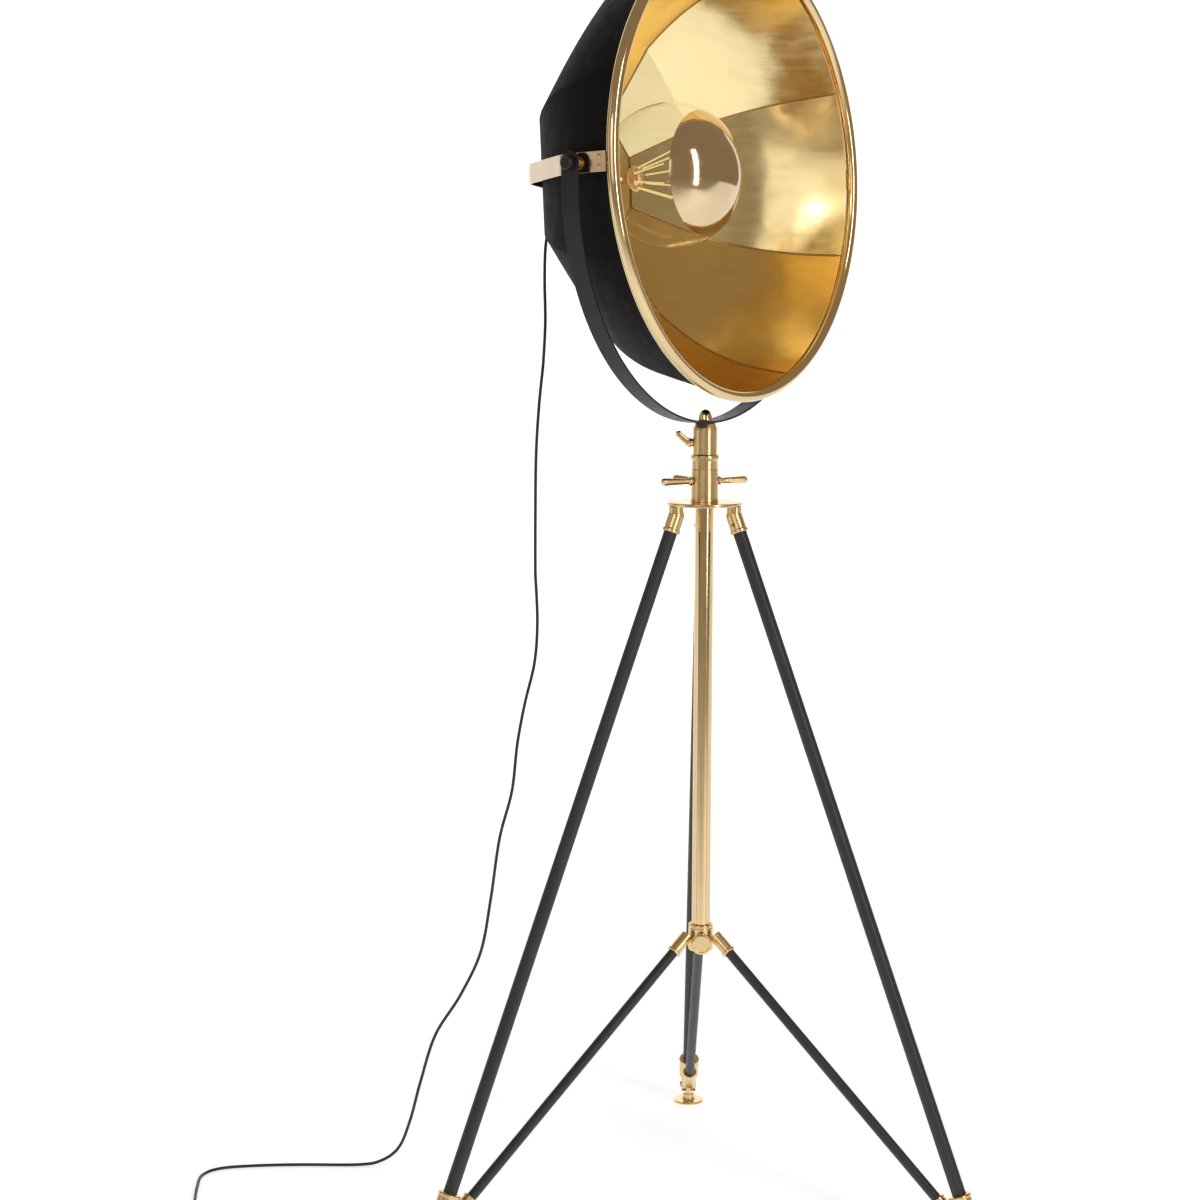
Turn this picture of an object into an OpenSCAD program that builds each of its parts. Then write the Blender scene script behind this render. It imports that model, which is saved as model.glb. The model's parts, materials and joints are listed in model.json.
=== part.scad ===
// Tripod floor lamp with a tilting octagonal dish in a U-shaped yoke.
// Origin: on the floor, straight under the column. +Z is up, +X is to the right, and +Y is away
// from the side that the lamp is usually seen from. Millimetres.

/* [Tripod] */
// Distance from the column's axis to each foot's hinge
foot_radius = 416; // [380:2:460]
// Height of the top plate's underside
plate_under = 992.4; // [940:0.2:1040]
// Distance from the column's axis to each leg where it meets the top plate
leg_top_r = 41.2; // [38:0.2:46]
// Outer diameter of the leg tubes
leg_d = 19; // [16:0.5:22]
// Outer diameter of the brace rods
brace_d = 14; // [10:0.5:16]
// Directions of the three legs, seen from above
leg_turn = [-30, 90, 210]; // [-180:1:270]
// Diameter of the foot pads
pad_d = 48; // [36:1:60]

/* [Column] */
// Outer diameter of the column tube
column_d = 26; // [25:0.5:30]
// Outer diameter of the sliding mast
mast_d = 22; // [18:0.5:22]
// Diameter of the top plate
plate_d = 106; // [100:1:130]
// Height of the brace hub's underside
hub_z = 362; // [300:1:400]

/* [Head] */
// Height of the tilt axis with the mast fully down
tilt_z = 1446; // [1400:1:1500]
// Turn of the head about the mast
head_yaw = -35; // [-90:1:90]
// Upward tilt of the head
head_tilt = 2.5; // [-10:0.5:20]
// Outer diameter of the rim ring
rim_d = 624; // [600:1:626]
// Distance from the tilt axis forward to the rim's plane
rim_ahead = 54; // [50:1:58]
// Depth of the crease behind the rim's plane
crease_depth = 195; // [180:1:200]
// Radius of the dish's corners at the crease
crease_r = 200; // [190:1:210]
// Depth of the centre plate behind the rim's plane
centre_depth = 240; // [230:1:245]
// Diameter of the glass globe
bulb_d = 200; // [160:1:200]

/* [Cord] */
// Diameter of the mains cord
cord_d = 4.5; // [4:0.5:5]

/* [Hidden] */
$fn = 64;
brass = "#c8a468";
black = "#262626";
gold = "#e0bd6c";
run_gap = 0.05;      // radial clearance of a pin that turns or slides in its bore
face_gap = 0.3;      // clearance between faces that move on each other

// Tripod
pin_z = 28;                          // height of the foot hinges
leg_lean = atan((foot_radius - leg_top_r) / (plate_under - pin_z));
brace_top = [31, 377];               // radius and height of a brace's upper end
brace_foot = [365, 65];              // radius and height of a brace's mouth in the foot fitting
brace_lean = atan((brace_foot[0] - brace_top[0]) / (brace_top[1] - brace_foot[1]));
brace_len = norm(brace_foot - brace_top);
socket_d = 22.5;                     // leg socket
socket_len = 38;                     // along the leg from the plate's underside
leg_start = 20;                      // where a leg tube begins inside its socket
leg_end = 1006;                      // where it ends inside the foot fitting
pin_r = 3;
fork_r = 11;
tongue_w = 6.4;

// Column, mast and hub
plate_t = 5;
plate_top = plate_under + plate_t;
barrel_top = plate_top + 45;
swivel_z0 = barrel_top + face_gap;
swivel_z1 = 1097.6;
column_z0 = 366;
mast_z0 = 430;
clamp_z = 1026;
clamp_turn = [24, 128, 202];
wing_z = 1079;
wing_turn = 188;
spigot_r = 8;

// Yoke
yoke_w = 26;
yoke_t = 3;
yoke_r = 321.5;                      // outer radius of the bow
yoke_drop = 340;                     // tilt axis down to the bow's lowest point
pivot_r = 4;

// Dish: the profile is a cubic from the rim's edge to the crease and straight to the centre plate
rim_tube_r = 8;
rim_wall = 1.2;
reflector_t = 0.9;                   // sheet of the reflector's gores
shell_in = 1.4;                      // the outer shell's two faces, outward from the reflector
shell_out = 2.5;
edge_depth = 8.6;
edge_r = 301;
centre_r = 92;
hole_r = 22;
front_rows = 7;
gore_steps = 6;
gore_gap = 0.12;                     // degrees left free beside each seam
seam_turn = 1;                       // turn of the eight-sided pattern about the axis

// Bulb, all along the head's own X axis
bulb_x = -59;
bulb_r = bulb_d / 2;
neck_x = -168;
holder_x = -199;
nipple_r = 5;
band_back = -200.5;                  // front face of the band where it crosses behind the dish
band_side = rim_d / 2 - 5.5;         // middle of the band's thickness at the pivots
band_t = 3;
band_w = 26;

// Cord: the free length's points, from the relief on the head to the floor and along it
cord_upper_route = [[-205, 144, 1398], [-213, 149, 1387], [-220, 154, 1370], [-224, 156, 1345],
    [-225, 155, 1300], [-224, 153, 1240], [-227, 152, 1180]];
cord_middle_route = [[-227, 152, 1180], [-233, 151, 1120], [-237, 149, 1050], [-238, 147, 960],
    [-238, 146, 880]];
cord_lower_route = [[-238, 146, 880], [-235, 145, 810], [-239, 143, 750], [-253, 141, 690],
    [-264, 140, 630], [-272, 138, 560], [-290, 137, 490], [-303, 136, 400], [-318, 134, 320],
    [-348, 133, 255], [-385, 131, 195], [-407, 130, 125], [-423, 129, 65], [-440, 127, 24],
    [-466, 121, 6], [-500, 114, 2.3], [-585, 113, 2.3], [-650, 108, 2.3], [-700, 96, 2.3],
    [-722, 68, 2.3], [-722, 20, 2.3], [-716, -40, 2.3], [-711, -95, 2.3], [-710, -132, 4],
    [-710, -149, 5.5]];
switch_tail_route = [[-710, -219, 5.5], [-708, -233, 3.5], [-701, -244, 2.3], [-688, -250, 2.3],
    [-665, -250.5, 2.3]];
plug_tail_route = [[-637, -250.5, 6.9], [-614, -250.5, 6.9]];
switch_at = [-710, -184];            // middle of the foot switch
switch_r = 30;
entry_z = 5.5;                       // height of the cord where it enters the switch
coil_at = [-650, -220];              // middle of the coil on the floor
coil_mid_r = 26;
coil_w = 14;
coil_h = 9.4;
plug_at = [-562, -250.5];             // middle of the plug's front face
plug_size = [36, 35, 13.8];          // length, width across the pins, thickness
plug_pin_r = 2;
plug_pin_len = 19;
plug_pin_gap = 18;                   // between the pins' axes

// ---------- helpers ----------

// A round bar along +Z from z0 to z1
module bar(r, z0, z1) {
    translate([0, 0, z0]) cylinder(r = r, h = z1 - z0);
}

// Puts +Z along the line that leans outward by lean, at a distance along from a start point
module along(start, lean, distance) {
    translate([start[0] + distance * sin(lean), 0, start[1] - distance * cos(lean)])
        rotate([0, 180 - lean, 0]) children();
}

module along_leg(distance) { along([leg_top_r, plate_under], leg_lean, distance) children(); }
module along_brace(distance) { along(brace_top, brace_lean, distance) children(); }

// Turns a part that points along +X to a direction about the mast
module turned(angle) { rotate([0, 0, angle]) children(); }

// Puts the head's own frame, +X forward and +Y along the tilt axis, at the tilt axis
module on_head() {
    translate([0, 0, tilt_z]) rotate([0, 0, head_yaw]) rotate([0, -head_tilt, 0]) children();
}

// A bar along the head's +X axis from x0 to x1
module head_bar(r, x0, x1) {
    translate([x0, 0, 0]) rotate([0, 90, 0]) cylinder(r = r, h = x1 - x0);
}

// Rounds the inner corner b of the path a-b-c with an arc of radius r
function round_corner(a, b, c, r, steps = 6) = let(
    u = (a - b) / norm(a - b), v = (c - b) / norm(c - b),
    half = acos(u * v) / 2, reach = r / tan(half),
    middle = b + (u + v) / norm(u + v) * r / sin(half),
    from = b + u * reach - middle, to = b + v * reach - middle,
    sweep = 180 - 2 * half)
    [for (i = [0:steps]) middle
        + (from * sin(sweep * (1 - i / steps)) + to * sin(sweep * i / steps)) / sin(sweep)];

// A path with all its inner corners rounded
function rounded(path, r) = [path[0],
    for (i = [1:len(path) - 2]) each round_corner(path[i - 1], path[i], path[i + 1], r),
    path[len(path) - 1]];

// The path moved sideways by d
function moved(path, d) = [for (i = [0:len(path) - 1]) let(
    back = path[i] - path[max(i - 1, 0)], ahead = path[min(i + 1, len(path) - 1)] - path[i],
    a = norm(back) > 0 ? back / norm(back) : ahead / norm(ahead),
    b = norm(ahead) > 0 ? ahead / norm(ahead) : a,
    t = (a + b) / norm(a + b))
    path[i] + d / (t * a) * [-t[1], t[0]]];

// A strip of thickness t that follows a path
module ribbon(path, t) {
    far_side = moved(path, -t / 2);
    polygon(concat(moved(path, t / 2), [for (i = [len(path) - 1:-1:0]) far_side[i]]));
}

// ---------- tripod ----------

module top_plate() {
    color(brass) difference() {
        union() {
            bar(plate_d / 2 - 1, plate_under, plate_top);
            bar(plate_d / 2, plate_under + 1, plate_top - 1);
        }
        bar(mast_d / 2 + run_gap, plate_under - 1, plate_top + 1);
    }
}

module clamp_barrel() {
    color(brass) difference() {
        translate([0, 0, plate_top]) cylinder(r1 = 19.4, r2 = 18.6, h = barrel_top - plate_top);
        bar(mast_d / 2 + run_gap, plate_top - 1, barrel_top + 1);
        for (a = clamp_turn)
            turned(a) translate([0, 0, clamp_z]) rotate([0, 90, 0]) bar(pin_r + run_gap, 0, 30);
    }
}

module column_tube() {
    color(brass) difference() {
        bar(column_d / 2, column_z0, plate_under);
        bar(mast_d / 2 + run_gap, column_z0 - 1, plate_under + 1);
    }
}

module brace_hub() {
    color(brass) difference() {
        union() {
            bar(17.5, hub_z, hub_z + 38);
            for (a = leg_turn) turned(a) {
                along_brace(-20) bar(9, 0, 40);
                along_brace(16) bar(10.4, 0, 4);
            }
        }
        bar(column_d / 2 + run_gap, column_z0 + 0.02, hub_z + 50);
        bar(15, hub_z + 35, hub_z + 50);
        bar(10, hub_z - 1, hub_z + 10);
        for (a = leg_turn) turned(a) along_brace(2) bar(brace_d / 2 + run_gap, 0, 30);
        turned(-90) translate([0, 0, hub_z + 14]) rotate([0, 90, 0]) bar(pin_r + run_gap, 0, 30);
    }
}

module leg_socket(angle) {
    color(brass) turned(angle) difference() {
        intersection() {
            union() {
                along_leg(14) sphere(r = socket_d / 2);
                along_leg(14) bar(socket_d / 2, 0, socket_len - 14);
                along_leg(socket_len - 5) bar(12.6, 0, 5);
                translate([leg_top_r + 14 * sin(leg_lean), 0, plate_under - 14])
                    bar(10, 0, 14);
            }
            bar(plate_d, plate_under - 60, plate_under);
        }
        along_leg(leg_start) bar(leg_d / 2 + run_gap, 0, 40);
        along_leg(26) rotate([90, 0, 0]) bar(2.5, 0, 20);
    }
}

// Grub screws that hold the legs in their sockets
module socket_screws() {
    color(black) for (a = leg_turn) turned(a) along_leg(26) rotate([90, 0, 0]) difference() {
        bar(2.45, leg_d / 2 + 0.2, socket_d / 2 + 0.8);
        translate([0, 0, socket_d / 2 - 0.7]) cylinder(r = 1.3, h = 4, $fn = 6);
    }
}

module leg(angle) {
    color(black) turned(angle) along_leg(0) difference() {
        bar(leg_d / 2, leg_start, leg_end);
        bar(leg_d / 2 - 1.5, leg_start - 1, leg_end + 1);
    }
}

module brace(angle) {
    color(black) turned(angle) along_brace(0) difference() {
        bar(brace_d / 2, 2, brace_len + 14);
        bar(brace_d / 2 - 1.2, 0, brace_len + 20);
    }
}

module foot_fitting(angle) {
    mouth = leg_end - 24;
    color(brass) turned(angle) difference() {
        union() {
            along_leg(mouth) bar(15, 0, 36);
            along_leg(mouth) bar(15.8, 0, 4);
            along_brace(brace_len) bar(10, 0, 44);
            along_brace(brace_len) bar(10.8, 0, 3.5);
            translate([foot_radius, 0, pin_z]) bar(fork_r, 0, 24);
            translate([foot_radius, 0, pin_z + 24]) cylinder(r1 = fork_r, r2 = 6, h = 12);
            translate([foot_radius, fork_r, pin_z]) rotate([90, 0, 0]) bar(fork_r, 0, 2 * fork_r);
        }
        along_leg(mouth - 1) bar(12.6, 0, 11);
        along_leg(mouth) bar(leg_d / 2 + run_gap, 0, 24.05);
        along_brace(brace_len - 1) bar(brace_d / 2 + run_gap, 0, 15.05);
        translate([foot_radius - 20, -tongue_w / 2 - face_gap, 0])
            cube([40, tongue_w + 2 * face_gap, pin_z + 8]);
        translate([foot_radius, 20, pin_z]) rotate([90, 0, 0]) bar(pin_r, 0, 40);
    }
}

module foot_pins() {
    color(brass) for (a = leg_turn)
        turned(a) translate([foot_radius, 0, pin_z]) rotate([-90, 0, 0]) {
            bar(pin_r, -fork_r, fork_r);
            bar(4.4, fork_r, fork_r + 3);
        }
}

module foot_pad(angle) {
    color(brass) turned(angle) translate([foot_radius, 0, 0]) difference() {
        union() {
            bar(pad_d / 2 - 0.8, 0, 4);
            bar(pad_d / 2, 0.8, 3.2);
            bar(9, 3, 14.5);
            translate([-7, -tongue_w / 2, 10]) cube([14, tongue_w, pin_z - 10]);
            translate([0, tongue_w / 2, pin_z]) rotate([90, 0, 0]) bar(7, 0, tongue_w);
        }
        translate([0, 20, pin_z]) rotate([90, 0, 0]) bar(pin_r + run_gap, 0, 40);
    }
}

// ---------- clamps ----------

// A tapered clamp lever on its screw, along +X
module clamp_lever(angle) {
    color(brass) turned(angle) translate([0, 0, clamp_z]) rotate([0, 90, 0]) {
        bar(pin_r, mast_d / 2 + 0.6, 20);
        bar(6, 19.8, 24);
        translate([0, 0, 24]) cylinder(r1 = 3.9, r2 = 5.3, h = 36);
        translate([0, 0, 60]) intersection() {
            sphere(r = 5.3);
            bar(6, 0, 6);
        }
    }
}

module hub_knob() {
    color(brass) turned(-90) translate([0, 0, hub_z + 14]) rotate([0, 90, 0]) {
        bar(pin_r, column_d / 2 + 0.4, 20);
        bar(6, 18, 22);
        bar(14.4, 22, 29);
        bar(13.6, 29, 30);
    }
}

// Lever screw that locks the swivel: a boss with one wing that rises outward
module swivel_lever() {
    color(brass) turned(wing_turn) translate([0, 0, wing_z]) {
        rotate([0, 90, 0]) bar(pin_r, spigot_r + 0.5, 19);
        rotate([0, 90, 0]) bar(5.5, 17.5, 24);
        hull() {
            translate([22, 2.5, 0]) rotate([90, 0, 0]) cylinder(r = 5, h = 5, $fn = 32);
            translate([39, 1.5, 14]) rotate([90, 0, 0]) cylinder(r = 3.6, h = 3, $fn = 32);
        }
    }
}

module pivot_knob(side) {
    color(brass) on_head() rotate([0, 0, side * 90]) rotate([0, 90, 0]) difference() {
        union() {
            bar(9, yoke_r + face_gap, yoke_r + 8);
            bar(8, yoke_r + 8, yoke_r + 10);
        }
        bar(pivot_r + run_gap, yoke_r - 1, yoke_r + 8.2);
        translate([-1, -12, yoke_r + 8.8]) cube([2, 24, 4]);
    }
}

// ---------- mast and yoke ----------

module mast_tube() {
    color(brass) difference() {
        bar(mast_d / 2, mast_z0, swivel_z0 + 16);
        bar(mast_d / 2 - 1.8, mast_z0 - 1, swivel_z0 + 20);
    }
}

module swivel_barrel() {
    flange_z = swivel_z0 + 14;
    color(brass) difference() {
        union() {
            bar(18.3, swivel_z0, flange_z);
            bar(20.3, flange_z, flange_z + 6);
            bar(17.2, flange_z + 6, swivel_z1);
        }
        bar(mast_d / 2 + 0.02, swivel_z0 - 1, swivel_z0 + 16);
        bar(spigot_r + run_gap, swivel_z1 - 33, swivel_z1 + 1);
        turned(wing_turn) translate([0, 0, wing_z]) rotate([0, 90, 0]) bar(pin_r + run_gap, 0, 30);
    }
}

module yoke_bow() {
    bow_z = yoke_r - yoke_drop;      // centre of the bow below the tilt axis
    color(black) translate([0, 0, tilt_z]) turned(head_yaw) difference() {
        union() {
            translate([-yoke_w / 2, 0, bow_z]) rotate([0, 90, 0]) difference() {
                cylinder(r = yoke_r, h = yoke_w, $fn = 128);
                translate([0, 0, -1]) cylinder(r = yoke_r - yoke_t, h = yoke_w + 2, $fn = 128);
                translate([-2 * yoke_r, -2 * yoke_r, -1]) cube([2 * yoke_r, 4 * yoke_r, yoke_w + 2]);
            }
            for (side = [-1, 1]) {
                translate([-yoke_w / 2, side * (yoke_r - yoke_t / 2) - yoke_t / 2, bow_z])
                    cube([yoke_w, yoke_t, 2 - bow_z]);
                translate([0, side * (yoke_r - yoke_t / 2) + yoke_t / 2, 2])
                    rotate([90, 0, 0]) bar(yoke_w / 2, 0, yoke_t);
            }
        }
        rotate([90, 0, 0]) bar(pivot_r + run_gap, -400, 400);
        bar(pin_r + 0.02, -400, -200);
    }
}

module yoke_spigot() {
    top = tilt_z - yoke_drop;
    color(brass) {
        bar(spigot_r, swivel_z1 - 30, swivel_z1 + 1);
        translate([0, 0, swivel_z1 + face_gap]) cylinder(r1 = 17, r2 = 14.3, h = top - swivel_z1 - face_gap);
        bar(pin_r, top - 1, top + 8);
    }
}

module acorn_nut() {
    base = tilt_z - yoke_drop + yoke_t + 0.2;
    color(brass) difference() {
        union() {
            translate([0, 0, base]) cylinder(r1 = 10, r2 = 8, h = 10);
            translate([0, 0, base + 7.5]) sphere(r = 8.2);
        }
        bar(pin_r + 0.02, base - 1, base + 5);
    }
}

// ---------- dish ----------

// Depth behind the rim's plane and corner radius, row by row from the rim to the lamp hole
function dish_row(i) = i <= front_rows
    ? let(x = i / front_rows)
        [edge_depth + (crease_depth - edge_depth) * x,
            edge_r - (edge_r - crease_r) * (0.35 * x + 0.65 * pow(x, 3))]
    : i == front_rows + 1 ? [centre_depth, centre_r] : [centre_depth, hole_r];

// The same row pushed outward by d
function dish_out(i, d, last) = let(
    run = dish_row(min(i + 1, last)) - dish_row(max(i - 1, 0)))
    dish_row(i) + d / norm(run) * [-run[1], run[0]];

// Share of roundness in the cross-section: 1 at the rim, 0 from the crease on
function roundness(i) = max(0, 1 - i / front_rows);

// A point of the dish: row i, pushed outward by d, at angle a about the axis
function dish_point(i, d, last, a) = let(
    p = dish_out(i, d, last),
    inside = ((a % 45) + 67.5) % 45 - 22.5,
    flat = cos(22.5) / cos(inside),
    r = p[1] * (roundness(i) + (1 - roundness(i)) * flat))
    [rim_ahead - p[0], r * cos(a + seam_turn), r * sin(a + seam_turn)];

// A thin curved sheet between two offsets of the dish, over the angles from a0 to a1
module dish_sheet(inner, outer, last, a0, a1, steps, closed) {
    cols = closed ? steps : steps + 1;
    points = [for (d = [inner, outer], i = [0:last], k = [0:cols - 1])
        dish_point(i, d, last, a0 + (a1 - a0) * k / steps)];
    layer = (last + 1) * cols;
    function at(l, i, k) = l * layer + i * cols + k % cols;
    quads = concat(
        [for (i = [0:last - 1], k = [0:steps - 1])
            [at(0, i, k), at(0, i, k + 1), at(0, i + 1, k + 1), at(0, i + 1, k)]],
        [for (i = [0:last - 1], k = [0:steps - 1])
            [at(1, i, k), at(1, i + 1, k), at(1, i + 1, k + 1), at(1, i, k + 1)]],
        [for (k = [0:steps - 1]) [at(0, 0, k), at(1, 0, k), at(1, 0, k + 1), at(0, 0, k + 1)]],
        [for (k = [0:steps - 1])
            [at(0, last, k), at(0, last, k + 1), at(1, last, k + 1), at(1, last, k)]],
        closed ? [] : [for (i = [0:last - 1])
            [at(0, i, 0), at(0, i + 1, 0), at(1, i + 1, 0), at(1, i, 0)]],
        closed ? [] : [for (i = [0:last - 1])
            [at(0, i, steps), at(1, i, steps), at(1, i + 1, steps), at(0, i + 1, steps)]]);
    polyhedron(points, [for (q = quads) each [[q[0], q[1], q[2]], [q[0], q[2], q[3]]]]);
}

module outer_shell() {
    color(black) on_head()
        dish_sheet(shell_in, shell_out, front_rows + 2, -22.5, 337.5, 8 * gore_steps, true);
}

module gore(n) {
    middle = 45 * (n - 1);
    color(gold) on_head() dish_sheet(0, reflector_t, front_rows + 1,
        middle - 22.5 + gore_gap, middle + 22.5 - gore_gap, gore_steps, false);
}

module centre_plate() {
    color(gold) on_head() translate([rim_ahead - centre_depth - reflector_t, 0, 0])
        rotate([0, 90, 0]) difference() {
            rotate(22.5 - seam_turn) cylinder(r = centre_r - 0.6, h = reflector_t, $fn = 8);
            bar(20.4, -1, 3);
        }
}

module rim_ring() {
    color(brass) on_head() translate([rim_ahead, 0, 0]) rotate([0, 90, 0])
        rotate_extrude($fn = 128) translate([rim_d / 2 - rim_tube_r, 0]) difference() {
            circle(r = rim_tube_r);
            circle(r = rim_tube_r - rim_wall);
        }
}

module back_band() {
    half = [[rim_ahead - 8.1, band_side], [-18, band_side], [-152, 206], [band_back - 1.5, 96]];
    path = rounded(concat(half, [for (i = [3:-1:0]) [half[i][0], -half[i][1]]]), 22);
    color(brass) on_head() difference() {
        translate([0, 0, -band_w / 2]) linear_extrude(band_w) ribbon(path, band_t);
        rotate([90, 0, 0]) bar(pivot_r + 0.02, -400, 400);
        head_bar(nipple_r + 0.02, -260, -180);
    }
}

// Shoulder bolts: a stud through the band, with the spacer that keeps the yoke's arm off it
module pivot_bolts() {
    outside = band_side + band_t / 2;
    inside = band_side - band_t / 2;
    color(brass) on_head() for (s = [-1, 1]) rotate([0, 0, s * 90]) rotate([0, 90, 0]) {
        bar(pivot_r, inside, yoke_r + 7.8);
        bar(7.5, outside, yoke_r - yoke_t - face_gap);
        bar(7, inside - 3, inside);
    }
}

// ---------- lamp ----------

module lamp_holder() {
    color("#2f2a26") on_head() difference() {
        union() {
            head_bar(20, holder_x, neck_x - 0.3);
            head_bar(nipple_r, band_back - 12, holder_x);
        }
        head_bar(13.6, -196.5, neck_x + 1);
    }
}

module bulb_glass() {
    color([0.9, 0.9, 0.85, 0.4]) on_head() difference() {
        union() {
            translate([bulb_x, 0, 0]) sphere(r = bulb_r, $fn = 96);
            head_bar(19, neck_x + 9, bulb_x - bulb_r + 12);
            translate([neck_x, 0, 0]) rotate([0, 90, 0]) cylinder(r1 = 14.4, r2 = 19, h = 9);
        }
        translate([bulb_x, 0, 0]) sphere(r = bulb_r - 1.2, $fn = 96);
        head_bar(17.8, neck_x + 9, bulb_x - bulb_r + 20);
        translate([neck_x - 0.1, 0, 0]) rotate([0, 90, 0]) cylinder(r1 = 12.9, r2 = 17.8, h = 9.2);
    }
}

// Mirror on the bulb's front
module bulb_mirror() {
    color("#a89884") on_head() translate([bulb_x, 0, 0]) difference() {
        sphere(r = bulb_r + 0.45, $fn = 96);
        sphere(r = bulb_r + 0.05, $fn = 96);
        translate([-2 * bulb_r + 52.7, -bulb_r - 5, -bulb_r - 5])
            cube([2 * bulb_r, 2 * bulb_r + 10, 2 * bulb_r + 10]);
    }
}

module bulb_base() {
    color(brass) on_head() {
        head_bar(13.3, -192, neck_x);
        for (x = [-188:4:-174]) head_bar(13.5, x, x + 1.8);
        head_bar(6, -196, -192);
    }
}

// Stem with its disc and eight filaments that fan out under the mirror
module bulb_stem() {
    color("#e8b070") on_head() {
        head_bar(8, neck_x, -122);
        head_bar(18, -120, -118);
        head_bar(8, -122, -117);
        for (k = [0:7]) rotate([45 * k + 20, 0, 0]) translate([-118.5, 0, 13])
            rotate([0, 72, 0]) bar(1.1, 0, 74);
    }
}

module rear_housing() {
    front = band_back - 3.3;
    color(black) on_head() difference() {
        union() {
            head_bar(22, front - 32, front);
            head_bar(20.5, front - 34, front);
        }
        head_bar(nipple_r + 0.02, front - 9.5, front + 1);
        translate([front - 34, 0, -22]) rotate([0, -135, 0]) bar(6.05, -14, 20);
    }
}

// Tapered relief that leads the cord out backward and down
module cord_relief() {
    front = band_back - 3.3;
    color(black) on_head() translate([front - 34, 0, -22]) rotate([0, -135, 0]) {
        bar(6, -13, 2);
        translate([0, 0, 2]) cylinder(r1 = 6, r2 = 3.2, h = 22);
    }
}

// ---------- cord ----------

// Catmull-Rom curve through the points, with a few steps to each span
function spline_point(p, i, t) = let(
    n = len(p) - 1, a = p[max(i - 1, 0)], b = p[i], c = p[min(i + 1, n)], d = p[min(i + 2, n)])
    0.5 * (2 * b + (c - a) * t + (2 * a - 5 * b + 4 * c - d) * t * t
        + (3 * b - a - 3 * c + d) * t * t * t);
function spline(p, steps) = [for (i = [0:len(p) - 2], k = [0:steps - 1])
    spline_point(p, i, k / steps), p[len(p) - 1]];

// The way a path runs at point i, with its two ends' ways stated where from or to is given
function heading(p, i, from, to) =
    i == 0 && !is_undef(from) ? from :
    i == len(p) - 1 && !is_undef(to) ? to : p[min(i + 1, len(p) - 1)] - p[max(i - 1, 0)];

// Tube of radius r swept along points
module tube(points, r, from = undef, to = undef, sides = 8) {
    last = len(points) - 1;
    rings = [for (i = [0:last]) let(
        way = heading(points, i, from, to), t = way / norm(way),
        side = cross(t, [-1, 1, 1]), u = side / norm(side), v = cross(t, u))
        for (k = [0:sides - 1]) points[i] + r * (u * cos(360 * k / sides) + v * sin(360 * k / sides))];
    faces = concat(
        [[for (k = [0:sides - 1]) k]],
        [[for (k = [sides - 1:-1:0]) last * sides + k]],
        [for (i = [0:last - 1], k = [0:sides - 1]) let(n = (k + 1) % sides)
            each [[i * sides + k, (i + 1) * sides + k, (i + 1) * sides + n],
                [i * sides + k, (i + 1) * sides + n, i * sides + n]]]);
    polyhedron(rings, faces);
}

down = [0, 0, -1];                   // the free lengths meet face to face on level planes
module cord_upper() { color(black) tube(spline(cord_upper_route, 2), cord_d / 2, to = down); }
module cord_middle() { color(black) tube(cord_middle_route, cord_d / 2, down, down); }

module cord_lower() {
    color(black) {
        tube(spline(cord_lower_route, 2), cord_d / 2, from = down);
        tube(spline(switch_tail_route, 2), cord_d / 2);
        tube(plug_tail_route, cord_d / 2);
    }
}

module cord_coil() {
    color(black) translate([coil_at[0], coil_at[1], 0]) rotate_extrude()
        translate([coil_mid_r - coil_w / 2, 0]) square([coil_w, coil_h]);
}

module on_switch() {
    translate([switch_at[0], switch_at[1], 0]) children();
}

// Foot switch: a low round case with the cord's entries on two sides
module switch_case() {
    color(black) on_switch() difference() {
        union() {
            bar(switch_r, 0, 12);
            translate([0, 0, 12]) cylinder(r1 = switch_r, r2 = 22, h = 8);
            translate([0, switch_r + 8, entry_z]) rotate([90, 0, 0])
                bar(4.5, 0, 2 * switch_r + 16);
        }
        bar(13, 14, 30);
    }
}

module switch_button() {
    color(black) on_switch() {
        bar(12.7, 17, 22);
        bar(11.5, 22, 23);
    }
}

// Two-pin plug: flat body that narrows to the back, tapered relief and two round pins
module plug() {
    half = plug_size[1] / 2;
    mid_z = plug_size[2] / 2;
    color(black) translate([plug_at[0], plug_at[1], 0]) {
        linear_extrude(plug_size[2]) polygon([[0, -half], [0, half], [-14, half],
            [-plug_size[0], 8], [-plug_size[0], -8], [-14, -half]]);
        translate([-plug_size[0], 0, mid_z]) rotate([0, -90, 0]) cylinder(r1 = 5, r2 = 3.2, h = 20);
        for (side = [-1, 1])
            translate([0, side * plug_pin_gap / 2, mid_z]) rotate([0, 90, 0])
                bar(plug_pin_r, -1, plug_pin_len);
    }
}

top_plate();
clamp_barrel();
column_tube();
brace_hub();
leg_socket(leg_turn[0]);  // leg_socket_right
leg_socket(leg_turn[1]);  // leg_socket_rear
leg_socket(leg_turn[2]);  // leg_socket_left
socket_screws();
leg(leg_turn[0]);  // leg_right
leg(leg_turn[1]);  // leg_rear
leg(leg_turn[2]);  // leg_left
brace(leg_turn[0]);  // brace_right
brace(leg_turn[1]);  // brace_rear
brace(leg_turn[2]);  // brace_left
foot_fitting(leg_turn[0]);  // foot_fitting_right
foot_fitting(leg_turn[1]);  // foot_fitting_rear
foot_fitting(leg_turn[2]);  // foot_fitting_left
foot_pins();
foot_pad(leg_turn[0]);  // foot_pad_right
foot_pad(leg_turn[1]);  // foot_pad_rear
foot_pad(leg_turn[2]);  // foot_pad_left
clamp_lever(clamp_turn[0]);  // clamp_lever_1
clamp_lever(clamp_turn[1]);  // clamp_lever_2
clamp_lever(clamp_turn[2]);  // clamp_lever_3
hub_knob();
mast_tube();
swivel_barrel();
swivel_lever();
yoke_bow();
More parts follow.
